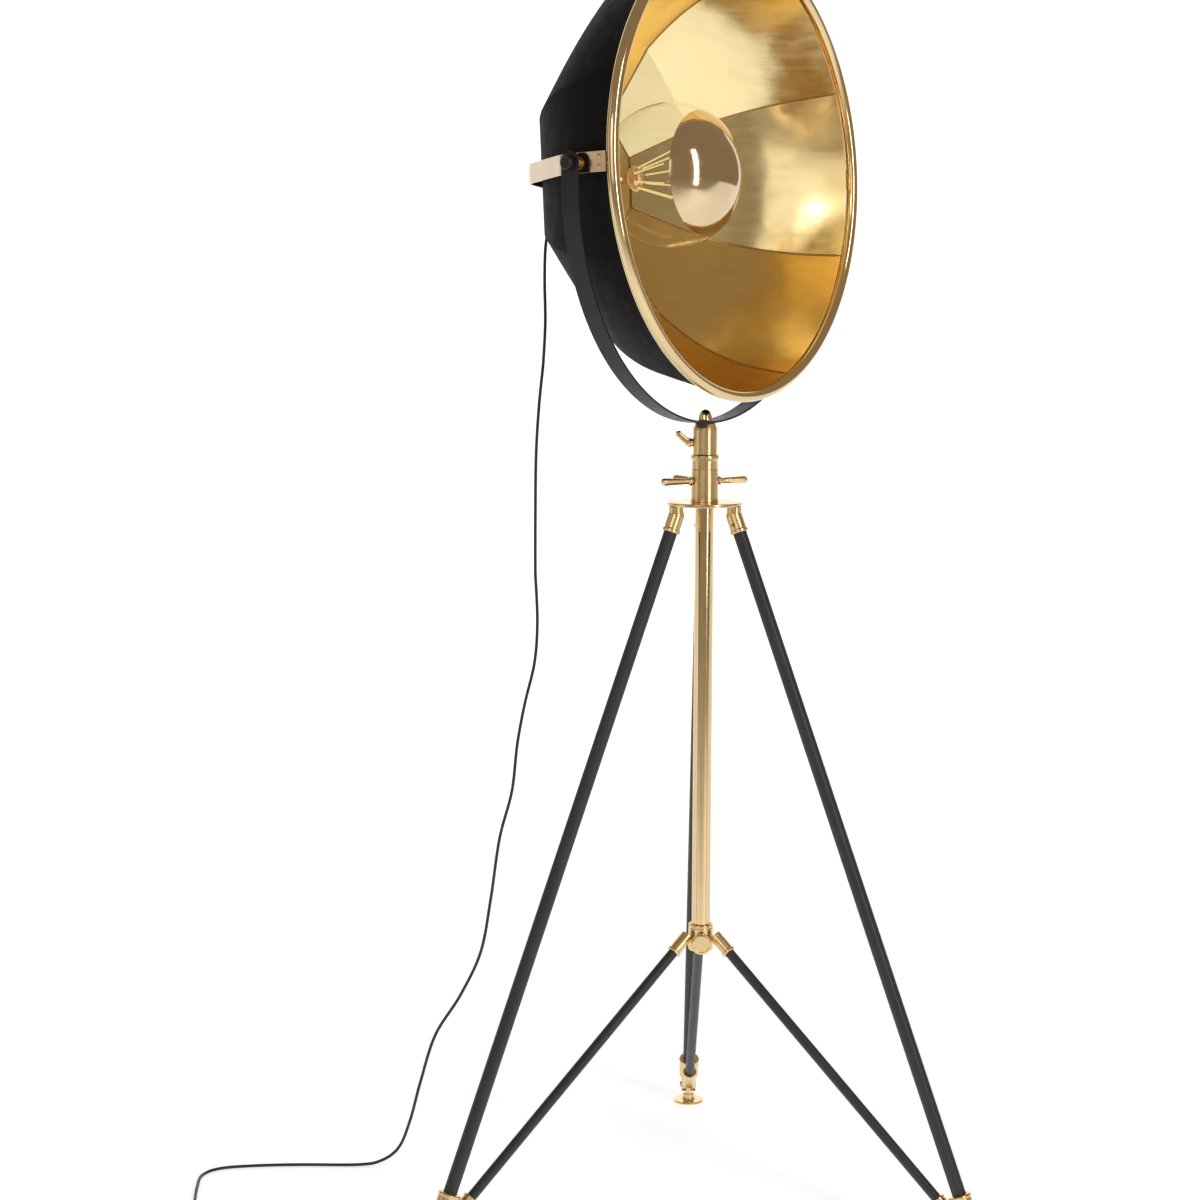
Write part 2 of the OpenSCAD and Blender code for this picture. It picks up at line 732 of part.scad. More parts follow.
yoke_spigot();
acorn_nut();
pivot_knob(-1);  // pivot_knob_near
pivot_knob(1);  // pivot_knob_far
outer_shell();
gore(1);  // gore_1
gore(2);  // gore_2
gore(3);  // gore_3
gore(4);  // gore_4
gore(5);  // gore_5
gore(6);  // gore_6
gore(7);  // gore_7
gore(8);  // gore_8
centre_plate();
rim_ring();
back_band();
pivot_bolts();
lamp_holder();
bulb_glass();
bulb_mirror();
bulb_base();
bulb_stem();
rear_housing();
cord_relief();
cord_upper();
cord_middle();
cord_lower();
cord_coil();
switch_case();
switch_button();
plug();
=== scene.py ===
# Tripod floor lamp: the looks of a studio lamp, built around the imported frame. Metres, +Z up.
import json
import math

import bmesh
import bpy
from mathutils import Matrix, Vector


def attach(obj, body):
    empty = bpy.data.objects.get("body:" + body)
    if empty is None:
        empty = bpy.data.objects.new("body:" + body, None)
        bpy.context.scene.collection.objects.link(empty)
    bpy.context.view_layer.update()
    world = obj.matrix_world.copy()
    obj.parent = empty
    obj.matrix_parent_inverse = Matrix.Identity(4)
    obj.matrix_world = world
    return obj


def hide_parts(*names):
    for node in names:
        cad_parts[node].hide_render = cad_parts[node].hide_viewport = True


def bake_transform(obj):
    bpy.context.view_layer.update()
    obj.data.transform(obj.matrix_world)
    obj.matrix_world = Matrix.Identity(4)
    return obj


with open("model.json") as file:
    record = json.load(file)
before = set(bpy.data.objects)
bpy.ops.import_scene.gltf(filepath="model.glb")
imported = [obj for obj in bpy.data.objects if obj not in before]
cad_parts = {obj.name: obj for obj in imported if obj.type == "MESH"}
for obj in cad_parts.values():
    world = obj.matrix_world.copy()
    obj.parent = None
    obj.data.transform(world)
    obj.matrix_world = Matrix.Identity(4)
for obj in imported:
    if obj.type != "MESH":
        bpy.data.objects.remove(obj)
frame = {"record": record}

MM = 0.001
HERE = Matrix.Identity(4)
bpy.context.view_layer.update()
JOINTS = {j["name"]: j for j in frame["record"]["behaviour"]["joints"]}
SIDES = {"right": -30, "rear": 90, "left": 210}  # the legs' directions, in degrees
LEVERS = {1: 24, 2: 128, 3: 202}  # the clamp levers' directions

# The stand's driving sizes, in millimetres
PLATE_UNDER, PLATE_TOP, BARREL_TOP = 992.4, 997.4, 1042.4
COLUMN_R, COLUMN_FOOT, COLUMN_BORE = 13, 366, 11.1
MAST_FOOT, SWIVEL_FOOT, SWIVEL_TOP = 430, 1042.7, 1097.6
CLAMP_Z, WING_Z, HUB_KNOB_Z, WING_TURN = 1026, 1079, 376, 188
HEAD_LIFT = 2.5  # degrees above level
FOOT_R, PIN_Z = 416, 28
LEG_TOP_R, LEG_R, LEG_END = 41.2, 9.5, 1006
BRACE_R, BRACE_TOP, BRACE_FOOT = 7, (31, 377), (365, 65)
BRACE_OUT, BRACE_DROP = BRACE_FOOT[0] - BRACE_TOP[0], BRACE_TOP[1] - BRACE_FOOT[1]


# -------- places

def turned(degrees):
    """Turns a piece that points along +X to a direction about the column."""
    return Matrix.Rotation(math.radians(degrees), 4, "Z")


def shift(x, y, z):
    """Moves a piece by millimetres."""
    return Matrix.Translation((x * MM, y * MM, z * MM))


def toward(origin, direction):
    """Puts +Z along a direction, at an origin."""
    return Matrix.Translation(origin) @ Vector(direction).to_track_quat("Z", "Y").to_matrix().to_4x4()


def head_place():
    """The head's own frame: +X forward, +Y along the tilt axis."""
    axis = Vector(JOINTS["head_tilt"]["axis"])
    return (Matrix.Translation(JOINTS["head_tilt"]["pos_m"])
            @ Matrix.Rotation(math.atan2(-axis.x, axis.y), 4, "Z")
            @ Matrix.Rotation(-math.radians(HEAD_LIFT), 4, "Y"))


HEAD = head_place()
ALONG_HEAD = HEAD @ Matrix.Rotation(math.pi / 2, 4, "Y")    # +Z runs along the dish's axis
LEAN_LEG = math.atan2(FOOT_R - LEG_TOP_R, PLATE_UNDER - PIN_Z)
LEAN_BRACE = math.atan2(BRACE_OUT, BRACE_DROP)
ON_EDGE = Matrix.Rotation(math.pi / 2, 4, "X")  # lays a flat piece on edge


def leaning(start_r, start_z, lean, distance):
    """+Z runs outward and down along a leg or a brace, from a distance along it. Millimetres."""
    x = start_r + distance * math.sin(lean)
    z = start_z - distance * math.cos(lean)
    return shift(x, 0, z) @ Matrix.Rotation(math.pi - lean, 4, "Y")


def leg_line(distance):
    return leaning(LEG_TOP_R, PLATE_UNDER, LEAN_LEG, distance)


def brace_line(distance):
    return leaning(*BRACE_TOP, LEAN_BRACE, distance)


def knuckle_of(angle, height=0.0):
    """A foot's own frame: its origin under the hinge pin, at a height in millimetres."""
    return turned(angle) @ shift(FOOT_R, 0, height)


# -------- materials

class Surface:
    """A Principled material with short ways to add procedural detail."""

    def __init__(self, name, color, roughness, metallic=0.0, **sockets):
        self.material = bpy.data.materials.new(name)
        self.material.use_nodes = True
        self.tree = self.material.node_tree
        self.shader = self.tree.nodes["Principled BSDF"]
        self.shader.inputs["Base Color"].default_value = (*color, 1)
        self.shader.inputs["Roughness"].default_value = roughness
        self.shader.inputs["Metallic"].default_value = metallic
        for socket, value in sockets.items():
            self.shader.inputs[socket.replace("_", " ")].default_value = value
        self.normal = None

    def node(self, kind, **settings):
        made = self.tree.nodes.new(kind)
        for key, value in settings.items():
            setattr(made, key, value)
        return made

    def link(self, out, into):
        self.tree.links.new(out, into)

    def noise(self, scale, detail=4.0, roughness=0.5, stretch=(1, 1, 1), grain=False):
        """Noise over the piece's own place, or over its turning marks where grain is set."""
        if grain:
            source = self.node("ShaderNodeAttribute", attribute_name="grain").outputs["Vector"]
        else:
            source = self.node("ShaderNodeTexCoord").outputs["Object"]
        mapping = self.node("ShaderNodeMapping")
        mapping.inputs["Scale"].default_value = stretch
        self.link(source, mapping.inputs["Vector"])
        made = self.node("ShaderNodeTexNoise")
        made.inputs["Scale"].default_value = scale
        made.inputs["Detail"].default_value = detail
        made.inputs["Roughness"].default_value = roughness
        self.link(mapping.outputs["Vector"], made.inputs["Vector"])
        return made.outputs["Fac"]

    def ramp(self, factor, stops):
        made = self.node("ShaderNodeValToRGB")
        points = made.color_ramp.elements
        while len(points) < len(stops):
            points.new(0.5)
        for point, (place, color) in zip(points, stops):
            point.position = place
            point.color = (*color, 1)
        self.link(factor, made.inputs["Fac"])
        return made.outputs["Color"]

    def spread(self, factor, low, high, start=0.3, end=0.7):
        made = self.node("ShaderNodeMapRange")
        for socket, value in (("From Min", start), ("From Max", end), ("To Min", low), ("To Max", high)):
            made.inputs[socket].default_value = value
        self.link(factor, made.inputs["Value"])
        return made.outputs["Result"]

    def color(self, factor, stops):
        self.link(self.ramp(factor, stops), self.shader.inputs["Base Color"])
        return self

    def rough(self, factor, low, high, **limits):
        self.link(self.spread(factor, low, high, **limits), self.shader.inputs["Roughness"])
        return self

    def bump(self, factor, strength, distance):
        """Adds a layer of bump on top of those already there."""
        made = self.node("ShaderNodeBump")
        made.inputs["Strength"].default_value = strength
        made.inputs["Distance"].default_value = distance
        self.link(factor, made.inputs["Height"])
        if self.normal:
            self.link(self.normal, made.inputs["Normal"])
        self.normal = made.outputs["Normal"]
        self.link(self.normal, self.shader.inputs["Normal"])
        return self


def shade(color, factor):
    return tuple(min(1.0, c * factor) for c in color)


def brass(name, color, low, high, marks):
    """Turned brass: fine turning marks, and soft cloudy variation of tone and gloss."""
    made = Surface(name, color, low, 1.0)
    cloud = made.noise(9, 5, 0.6)
    made.color(cloud, [(0.25, shade(color, 0.9)), (0.5, color), (0.8, shade(color, 1.06))])
    made.rough(made.noise(26, 4, 0.55), low, high)
    made.bump(made.noise(900, 2, 0.7, grain=True), marks, 0.00015)
    return made.material


def paint(name, color, low, high, peel, gloss):
    """Powder coat: fine orange peel, uneven gloss, and a little dust in the colour."""
    made = Surface(name, color, low, 0.0, Specular_IOR_Level=gloss)
    made.color(made.noise(14, 6, 0.6), [(0.3, shade(color, 0.8)), (0.55, color), (0.8, shade(color, 1.35))])
    made.rough(made.noise(55, 5, 0.6), low, high)
    made.bump(made.noise(620, 3, 0.55), peel, 0.0003)
    made.bump(made.noise(160, 2, 0.5), peel * 0.5, 0.0004)
    return made.material


def plastic(name, color, low, high):
    """Moulded plastic with a fine spark-eroded texture."""
    made = Surface(name, color, low, 0.0, Specular_IOR_Level=0.5)
    made.color(made.noise(30, 4), [(0.3, shade(color, 0.75)), (0.7, shade(color, 1.3))])
    made.rough(made.noise(80, 4), low, high)
    made.bump(made.noise(1500, 3, 0.6), 0.25, 0.0002)
    return made.material


def gold_sheet(name, color):
    """Polished gold-coloured sheet: fine rolling lines, faint smears and a slight waviness."""
    made = Surface(name, color, 0.16, 1.0)
    made.color(made.noise(5, 4, 0.55),
               [(0.3, shade(color, 0.93)), (0.5, color), (0.72, shade(color, 1.05))])
    made.rough(made.noise(26, 6, 0.6, stretch=(1, 1, 3)), 0.13, 0.24)
    made.bump(made.noise(7, 2, 0.4), 0.22, 0.02)
    made.bump(made.noise(110, 5, 0.7, stretch=(0.15, 0.15, 2.5)), 0.12, 0.0006)
    return made.material


def clear_glass():
    made = Surface("clear_glass", (0.985, 0.985, 0.975), 0.02, 0.0, IOR=1.1, Transmission_Weight=1.0)
    made.rough(made.noise(30, 3), 0.0, 0.03)
    return made.material


def mirror_coat():
    made = Surface("mirror_coat", (0.74, 0.57, 0.36), 0.07, 1.0)
    made.color(made.noise(16, 4, 0.5), [(0.3, (0.70, 0.53, 0.32)), (0.7, (0.78, 0.62, 0.41))])
    made.rough(made.noise(60, 5, 0.6), 0.05, 0.12)
    return made.material


def filament_coat():
    made = Surface("filament_coat", (1.0, 0.84, 0.45), 0.5)
    made.color(made.noise(300, 3), [(0.35, (0.98, 0.76, 0.34)), (0.7, (1.0, 0.90, 0.56))])
    made.shader.inputs["Emission Color"].default_value = (1.0, 0.78, 0.36, 1)
    made.shader.inputs["Emission Strength"].default_value = 0.5
    return made.material


GOLD = (0.92, 0.76, 0.41)
# The amber stands for painted reflected light: light bounced between the gores, painted into some gores'
# gold.
PAINTED_BOUNCE_AMBER = (0.90, 0.60, 0.19)
PAINTED_BOUNCE_SHARES = [0.0, 0.05, 0.8, 0.3, 0.3, 0.6, 1.0, 0.85]    # share of painted amber in each gore's gold: painted reflected light from the other gores, not the metal's own colour

SATIN = brass("satin_brass", (0.80, 0.60, 0.31), 0.2, 0.3, 0.12)
POLISHED = brass("polished_brass", (0.76, 0.58, 0.325), 0.09, 0.17, 0.1)
BAND = brass("band_brass", (0.62, 0.48, 0.32), 0.12, 0.22, 0.12)
SEAM = brass("seam_brass", (0.42, 0.26, 0.11), 0.3, 0.45, 0.2)
COPPER = brass("copper", (0.80, 0.57, 0.41), 0.24, 0.38, 0.1)
NICKEL = brass("nickel", (0.72, 0.70, 0.66), 0.16, 0.28, 0.15)
BLACK = paint("black_paint", (0.014, 0.014, 0.0155), 0.34, 0.46, 0.12, 0.3)
TUBE = paint("tube_paint", (0.027, 0.027, 0.028), 0.36, 0.48, 0.12, 0.45)
MATT = paint("matt_paint", (0.0045, 0.0045, 0.0048), 0.6, 0.75, 0.16, 0.1)
DARK = paint("blackened_steel", (0.012, 0.012, 0.012), 0.3, 0.42, 0.1, 0.4)
PLASTIC = plastic("black_plastic", (0.02, 0.02, 0.021), 0.38, 0.5)
CORD = plastic("cord_pvc", (0.016, 0.016, 0.017), 0.4, 0.52)
GLASS = clear_glass()
MIRROR = mirror_coat()
GLOW = filament_coat()


# -------- mesh building

class Shape:
    """Collects the closed skins of one piece. Sizes given to it are in millimetres."""

    def __init__(self):
        self.points = []
        self.faces = []
        self.grain = []

    def add(self, points, faces, place=HERE, grain=None):
        base = len(self.points)
        self.points += [place @ (Vector(p) * MM) for p in points]
        self.faces += [[base + i for i in face] for face in faces]
        self.grain += grain or [(0, 0, 0)] * len(points)

    def lathe(self, profile, place=HERE, around=72, closed=False):
        """Turns a profile of (radius, height) points round +Z. closed joins its last point to its first."""
        points, faces, grain, rings = [], [], [], []
        for r, z in profile:
            first = len(points)
            count = 1 if r < 1e-6 else around
            for k in range(count):
                a = math.tau * k / around
                points.append((r * math.cos(a), r * math.sin(a), z))
                grain.append((r * MM, 0, z * MM))
            rings.append((first, count))
        pairs = list(zip(rings, rings[1:])) + ([(rings[-1], rings[0])] if closed else [])
        for (a, na), (b, nb) in pairs:
            for k in range(around):
                n = (k + 1) % around
                face = [a + k % na, a + n % na, b + n % nb, b + k % nb]
                face = list(dict.fromkeys(face))
                if len(face) > 2:
                    faces.append(face)
        self.add(points, faces, place, grain)
        return self

    def turn(self, profile, edge, place=HERE, around=72, closed=False):
        """A turned part: the profile with its corners rounded off by edge."""
        return self.lathe(rounded(profile, edge, closed), place, around, closed)

    def rod(self, radius, z0, z1, place=HERE, edge=0.5, around=48):
        """A round bar from z0 to z1 with rounded ends."""
        return self.turn([(0, z0), (radius, z0), (radius, z1), (0, z1)], edge, place, around)

    def pipe(self, outer, inner, z0, z1, place=HERE, edge=0.5, around=64):
        """A round tube from z0 to z1 with rounded rims."""
        profile = [(inner, z0), (outer, z0), (outer, z1), (inner, z1)]
        return self.turn(profile, edge, place, around, closed=True)

    def sweep(self, path, section, side, place=HERE, sizes=None, loop=False):
        """Runs a closed section of (across, out) points along a path. side is the across direction."""
        points = []
        last = len(path) - 1
        side = Vector(side)
        for i, p in enumerate(path):
            if loop:
                run = Vector(path[(i + 1) % len(path)]) - Vector(path[i - 1])
            else:
                run = Vector(path[min(i + 1, last)]) - Vector(path[max(i - 1, 0)])
            run.normalize()
            across = (side - run * side.dot(run)).normalized()
            out = run.cross(across)
            wide, thick = sizes[i] if sizes else (1, 1)
            points += [Vector(p) + across * u * wide + out * v * thick for u, v in section]
        self.add(points, ring_faces(len(path), len(section), loop), place)
        return self

    def block(self, low, high, place=HERE, edge=0.6):
        """A box with rounded edges."""
        made = bmesh.new()
        bmesh.ops.create_cube(made, size=1)
        for v in made.verts:
            v.co = Vector([(a + b) / 2 + c * (b - a) for a, b, c in zip(low, high, v.co)])
        bmesh.ops.bevel(made, geom=made.edges[:], offset=edge, segments=3, profile=0.5,
                        affect="EDGES")
        return self.take(made, place)

    def take(self, made, place):
        """Adds a bmesh's skin and frees the bmesh."""
        made.verts.index_update()
        self.add([v.co[:] for v in made.verts], [[v.index for v in f.verts] for f in made.faces], place)
        made.free()
        return self

    def piece(self, name, body, slot, material, *nodes, sharp=35.0):
        """Makes the object, puts it on its body and lets it stand for its CAD nodes."""
        mesh = bpy.data.meshes.new(name)
        mesh.from_pydata(self.points, [], self.faces)
        work = bmesh.new()
        work.from_mesh(mesh)
        bmesh.ops.recalc_face_normals(work, faces=work.faces[:])
        work.to_mesh(mesh)
        work.free()
        attribute = mesh.attributes.new("grain", "FLOAT_VECTOR", "POINT")
        attribute.data.foreach_set("vector", [c for g in self.grain for c in g])
        mesh.materials.append(material)
        mesh.shade_smooth()
        mesh.set_sharp_from_angle(angle=math.radians(sharp))
        made = bpy.data.objects.new(name, mesh)
        bpy.context.scene.collection.objects.link(made)
        weigh = made.modifiers.new("even_normals", "WEIGHTED_NORMAL")
        weigh.keep_sharp = True
        if body:
            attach(made, body)
        if nodes:
            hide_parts(*nodes)
        return made

    def in_brass(self, name, body, *nodes):
        return self.piece(name, body, "brass_satin", SATIN, *nodes)


def ring_faces(rings, count, loop=False):
    """Faces between rings of count points each, with both ends closed unless the rings make a loop."""
    faces = []
    for i in range(rings if loop else rings - 1):
        a, b = i * count, (i + 1) % rings * count
        faces += [[a + k, a + (k + 1) % count, b + (k + 1) % count, b + k] for k in range(count)]
    if not loop:
        faces += [list(range(count)), list(range((rings - 1) * count, rings * count))]
    return faces


def rounded(profile, radius, closed=False, steps=3):
    """Rounds the corners of a flat path. Points on the axis keep their place."""
    made = []
    count = len(profile)
    for i, here in enumerate(profile):
        if here[0] == 0 or not closed and i in (0, count - 1):
            made.append(here)
            continue
        b = Vector(here)
        a, c = Vector(profile[i - 1]), Vector(profile[(i + 1) % count])
        u, v = a - b, c - b
        reach = min(radius, u.length * 0.45, v.length * 0.45)
        if reach < 1e-4 or abs(u.angle(v) - math.pi) < 0.02:
            made.append(here)
            continue
        start, end = b + u.normalized() * reach, b + v.normalized() * reach
        for k in range(steps + 1):
            t = k / steps
            made.append(tuple(start * (1 - t) ** 2 + b * 2 * t * (1 - t) + end * t * t))
    return made


def oval(wide, high, count=24, power=2.0):
    """A closed section: an ellipse at power 2, squarer above it."""
    made = []
    for k in range(count):
        c, s = math.cos(math.tau * k / count), math.sin(math.tau * k / count)
        made.append((math.copysign(abs(c) ** (2 / power), c) * wide / 2,
                     math.copysign(abs(s) ** (2 / power), s) * high / 2))
    return made


def strip_section(wide, thick, edge):
    u, v = wide / 2, thick / 2
    return rounded([(-u, -v), (u, -v), (u, v), (-u, v)], edge, closed=True)


def smooth_step(t):
    t = max(0.0, min(1.0, t))
    return t * t * (3 - 2 * t)


# -------- camera

CAMERA_AT = (-0.1442, -3.4177, 1.2892)
CAMERA_DOWN, CAMERA_ROLL = math.radians(7.164), math.radians(0.204)
CAMERA_LENS = 74.32


def make_camera():
    data = bpy.data.cameras.new("camera")
    data.lens, data.sensor_width = CAMERA_LENS, 36
    data.clip_start, data.clip_end = 0.05, 60
    camera = bpy.data.objects.new("camera", data)
    bpy.context.scene.collection.objects.link(camera)
    camera.matrix_world = (Matrix.Translation(CAMERA_AT)
                           @ Matrix.Rotation(math.pi / 2 - CAMERA_DOWN, 4, "X")
                           @ Matrix.Rotation(CAMERA_ROLL, 4, "Z"))
    bpy.context.scene.camera = camera


# -------- cord

CORD_D = 0.0045
UPPER_ROUTE = [(-0.205, 0.144, 1.398), (-0.213, 0.149, 1.387), (-0.220, 0.154, 1.370),
               (-0.224, 0.156, 1.345), (-0.225, 0.155, 1.300), (-0.224, 0.153, 1.240),
               (-0.227, 0.152, 1.180)]
MIDDLE_ROUTE = [(-0.227, 0.152, 1.180), (-0.233, 0.151, 1.120), (-0.237, 0.149, 1.050),
                (-0.238, 0.147, 0.960), (-0.238, 0.146, 0.880)]
LOWER_ROUTE = [(-0.238, 0.146, 0.880), (-0.235, 0.145, 0.810), (-0.239, 0.143, 0.750),
               (-0.253, 0.141, 0.690), (-0.264, 0.140, 0.630), (-0.272, 0.138, 0.560),
               (-0.290, 0.137, 0.490), (-0.303, 0.136, 0.400), (-0.318, 0.134, 0.320),
               (-0.348, 0.133, 0.255), (-0.385, 0.131, 0.195), (-0.407, 0.130, 0.125),
               (-0.423, 0.129, 0.065), (-0.440, 0.127, 0.024), (-0.466, 0.121, 0.006),
               (-0.500, 0.114, 0.0023), (-0.585, 0.113, 0.0023), (-0.650, 0.108, 0.0023),
               (-0.700, 0.096, 0.0023), (-0.722, 0.068, 0.0023), (-0.722, 0.020, 0.0023),
               (-0.716, -0.040, 0.0023), (-0.711, -0.095, 0.0023), (-0.710, -0.132, 0.004),
               (-0.710, -0.149, 0.0055), (-0.710, -0.184, 0.0055), (-0.710, -0.219, 0.0055),
               (-0.708, -0.233, 0.0035), (-0.701, -0.244, 0.0023), (-0.688, -0.250, 0.0023),
               (-0.665, -0.2505, 0.0023), (-0.650, -0.2505, 0.0023)]
PLUG_ROUTE = [(-0.637, -0.2505, 0.0069), (-0.614, -0.2505, 0.0069)]
SWITCH_AT = (-0.710, -0.184, 0)
PLUG_AT = (-0.562, -0.2505, 0.0069)
COIL_AT = Vector((-0.650, -0.220, 0))
COIL_TURNS, COIL_R, COIL_LOW, COIL_RISE = 5, 0.0305, 0.0023, 0.0046
PLUG_PIN_Y = 9    # millimetres from the plug's middle


def spline(route, step=0.004):
    """A smooth curve through the route's points, sampled about every step."""
    p = [Vector(q) for q in route]
    made = []
    for i in range(len(p) - 1):
        a, b, c, d = p[max(i - 1, 0)], p[i], p[i + 1], p[min(i + 2, len(p) - 1)]
        count = max(2, round((c - b).length / step))
        for k in range(count):
            t = k / count
            made.append(0.5 * (2 * b + (c - a) * t + (2 * a - 5 * b + 4 * c - d) * t ** 2
                               + (3 * b - a - 3 * c + d) * t ** 3))
    return made + [p[-1]]


def coil_points():
    """Turns beside and on each other: three inward on the floor, then two outward on top of them."""
    made = []
    per_turn = 40
    for k in range(COIL_TURNS * per_turn + 1):
        u = k / per_turn
        inward = smooth_step((u - 0.7) / 0.3) + smooth_step((u - 1.7) / 0.3)
        outward = smooth_step((u - 3.55) / 0.3) + smooth_step((u - 4.55) / 0.3)
        r = COIL_R + CORD_D * (outward - inward)
        z = COIL_LOW + COIL_RISE * smooth_step((u - 2.7) / 0.3)
        a = math.tau * u - math.pi / 2
        made.append(COIL_AT + Vector((r * math.cos(a), r * math.sin(a), z)))
    return made


def tube(name, points, *nodes):
    """A round cord along points, with its section carried along without twist."""
    around = 14
    run = (points[1] - points[0]).normalized()
    side = run.cross(Vector((0.3, 1, 0.2))).normalized()
    skin = []
    for i, p in enumerate(points):
        ahead = points[min(i + 1, len(points) - 1)] - points[max(i - 1, 0)]
        run = ahead.normalized()
        side = (side - run * side.dot(run)).normalized()
        up = run.cross(side)
        for k in range(around):
            a = math.tau * k / around
            skin.append((p + (side * math.cos(a) + up * math.sin(a)) * CORD_D / 2) / MM)
    shape = Shape()
    shape.add(skin, ring_faces(len(points), around))
    return shape.piece(name, None, "cord_pvc", CORD, *nodes)


def make_switch():
    """Inline foot switch: a low round case with a ribbed skirt and a press button."""
    place = Matrix.Translation(SWITCH_AT)
    case = Shape()
    profile = [(0, 0.3), (28.5, 0.3), (30, 1.6), (30, 12), (22, 20), (15, 20), (14.2, 18.4), (14.2, 13.8),
               (0, 13.8)]
    case.turn(profile, 1.2, place, 96)
    for k in range(36):
        spot = place @ turned(k * 10 + 5) @ shift(30, 0, 0)
        if abs(math.cos(math.radians(k * 10 + 5))) > 0.25:
            case.block((-0.6, -0.9, 2), (0.4, 0.9, 10.6), spot, 0.3)
    for side in (-1, 1):
        entry = toward(place @ Vector((0, side * 0.028, 0.0055)), (0, side, 0))
        case.turn([(0, 0), (4.9, 0), (4.9, 3), (4.2, 5), (3.6, 10), (0, 10)], 0.5, entry, 40)
        for k in range(3):
            case.pipe(4.9 - 0.35 * k, 3.0, 3.2 + 2.2 * k, 4.2 + 2.2 * k, entry, 0.3, 40)
    button = Shape()
    button.turn([(0, 17), (12.7, 17), (12.7, 22), (11.6, 23), (0, 22.4)], 0.7, place, 72)
    for r in (4.0, 7.0, 10.0):
        button.pipe(r + 0.45, r - 0.45, 22.0, 22.85, place, 0.3, 64)
    return (case.piece("foot_switch", "stand", "black_plastic", PLASTIC, "switch_case"),
            button.piece("foot_button", "switch_button", "black_plastic", PLASTIC, "switch_button"))


def make_plug():
    """Flat two-pin plug with a grooved relief; its round pins are sleeved for half their length."""
    place = toward(PLUG_AT, (1, 0, 0))
    body = Shape()
    widths = [(-36, 15, 9.6), (-34, 17.5, 11.5), (-28, 21, 13), (-18, 29, 13.6), (-10, 34, 13.7),
              (-2, 35, 13.7), (-0.6, 34.4, 13.2), (0, 33, 12)]
    path = [(0, 0, x) for x, w, t in widths]
    body.sweep(path, oval(1, 1, 48, 5), (1, 0, 0), place, [(w, t) for x, w, t in widths])
    body.turn([(0, -56), (3.2, -56), (5.2, -35), (0, -35)], 0.4, place, 40)
    for k in range(6):
        z = -38.5 - 2.8 * k
        body.pipe(5.35 - 0.27 * k, 3.0, z - 0.7, z + 0.7, place, 0.3, 40)
    pins = Shape()
    for side in (-1, 1):
        pin = place @ shift(side * PLUG_PIN_Y, 0, 0)
        body.rod(1.9, -1, 10, pin, 0.1, 32)
        pins.turn([(0, 8), (2.0, 8), (2.0, 17.6), (1.2, 19), (0, 19)], 0.5, pin, 32)
    return (body.piece("plug_body", "stand", "black_plastic", PLASTIC, "plug"),
            pins.piece("plug_pins", "stand", "plated_steel", NICKEL))


def make_cords():
    """Three free lengths that meet end to end, one for each joint that the cord crosses."""
    upper = spline(UPPER_ROUTE)
    middle = spline(MIDDLE_ROUTE)
    lower = spline(LOWER_ROUTE)[:-1]
    lower += coil_points() + spline(PLUG_ROUTE)
    first = tube("cord_from_head", upper, "cord_upper")
    second = tube("cord_behind_yoke", middle, "cord_middle")
    third = tube("cord_to_plug", lower, "cord_lower", "cord_coil")
    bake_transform(first)
    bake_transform(second)
    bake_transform(third)
    case, button = make_switch()
    plug, pins = make_plug()
    tie = Shape()
    spot = COIL_AT + Vector((0, 0.026, 0.00515))
    loop = [(0, y, z) for y, z in oval(16.2, 9.5, 40, 3.2)]
    tie.sweep(loop, strip_section(9, 0.8, 0.3), (1, 0, 0), Matrix.Translation(spot), loop=True)
    band = tie.piece("cord_tie", "stand", "black_plastic", PLASTIC)


# -------- tripod

def make_top():
    """Top plate, clamp barrel and the column tube under them."""
    plate = Shape()
    plate.pipe(53, COLUMN_BORE, PLATE_UNDER, PLATE_TOP, edge=1.4, around=128)
    plate.in_brass("top_plate_disc", "stand", "top_plate")
    barrel = Shape()
    profile = [(COLUMN_BORE, PLATE_TOP), (19.4, PLATE_TOP), (18.95, 1024), (18.6, BARREL_TOP),
               (COLUMN_BORE, BARREL_TOP)]
    barrel.turn(profile, 0.7, around=96, closed=True)
    barrel.in_brass("clamp_barrel_body", "stand", "clamp_barrel")
    column = Shape()
    column.pipe(COLUMN_R, COLUMN_BORE, COLUMN_FOOT, PLATE_UNDER, edge=0.4, around=96)
    column.piece("column_outer_tube", "stand", "brass_satin", POLISHED, "column_tube")


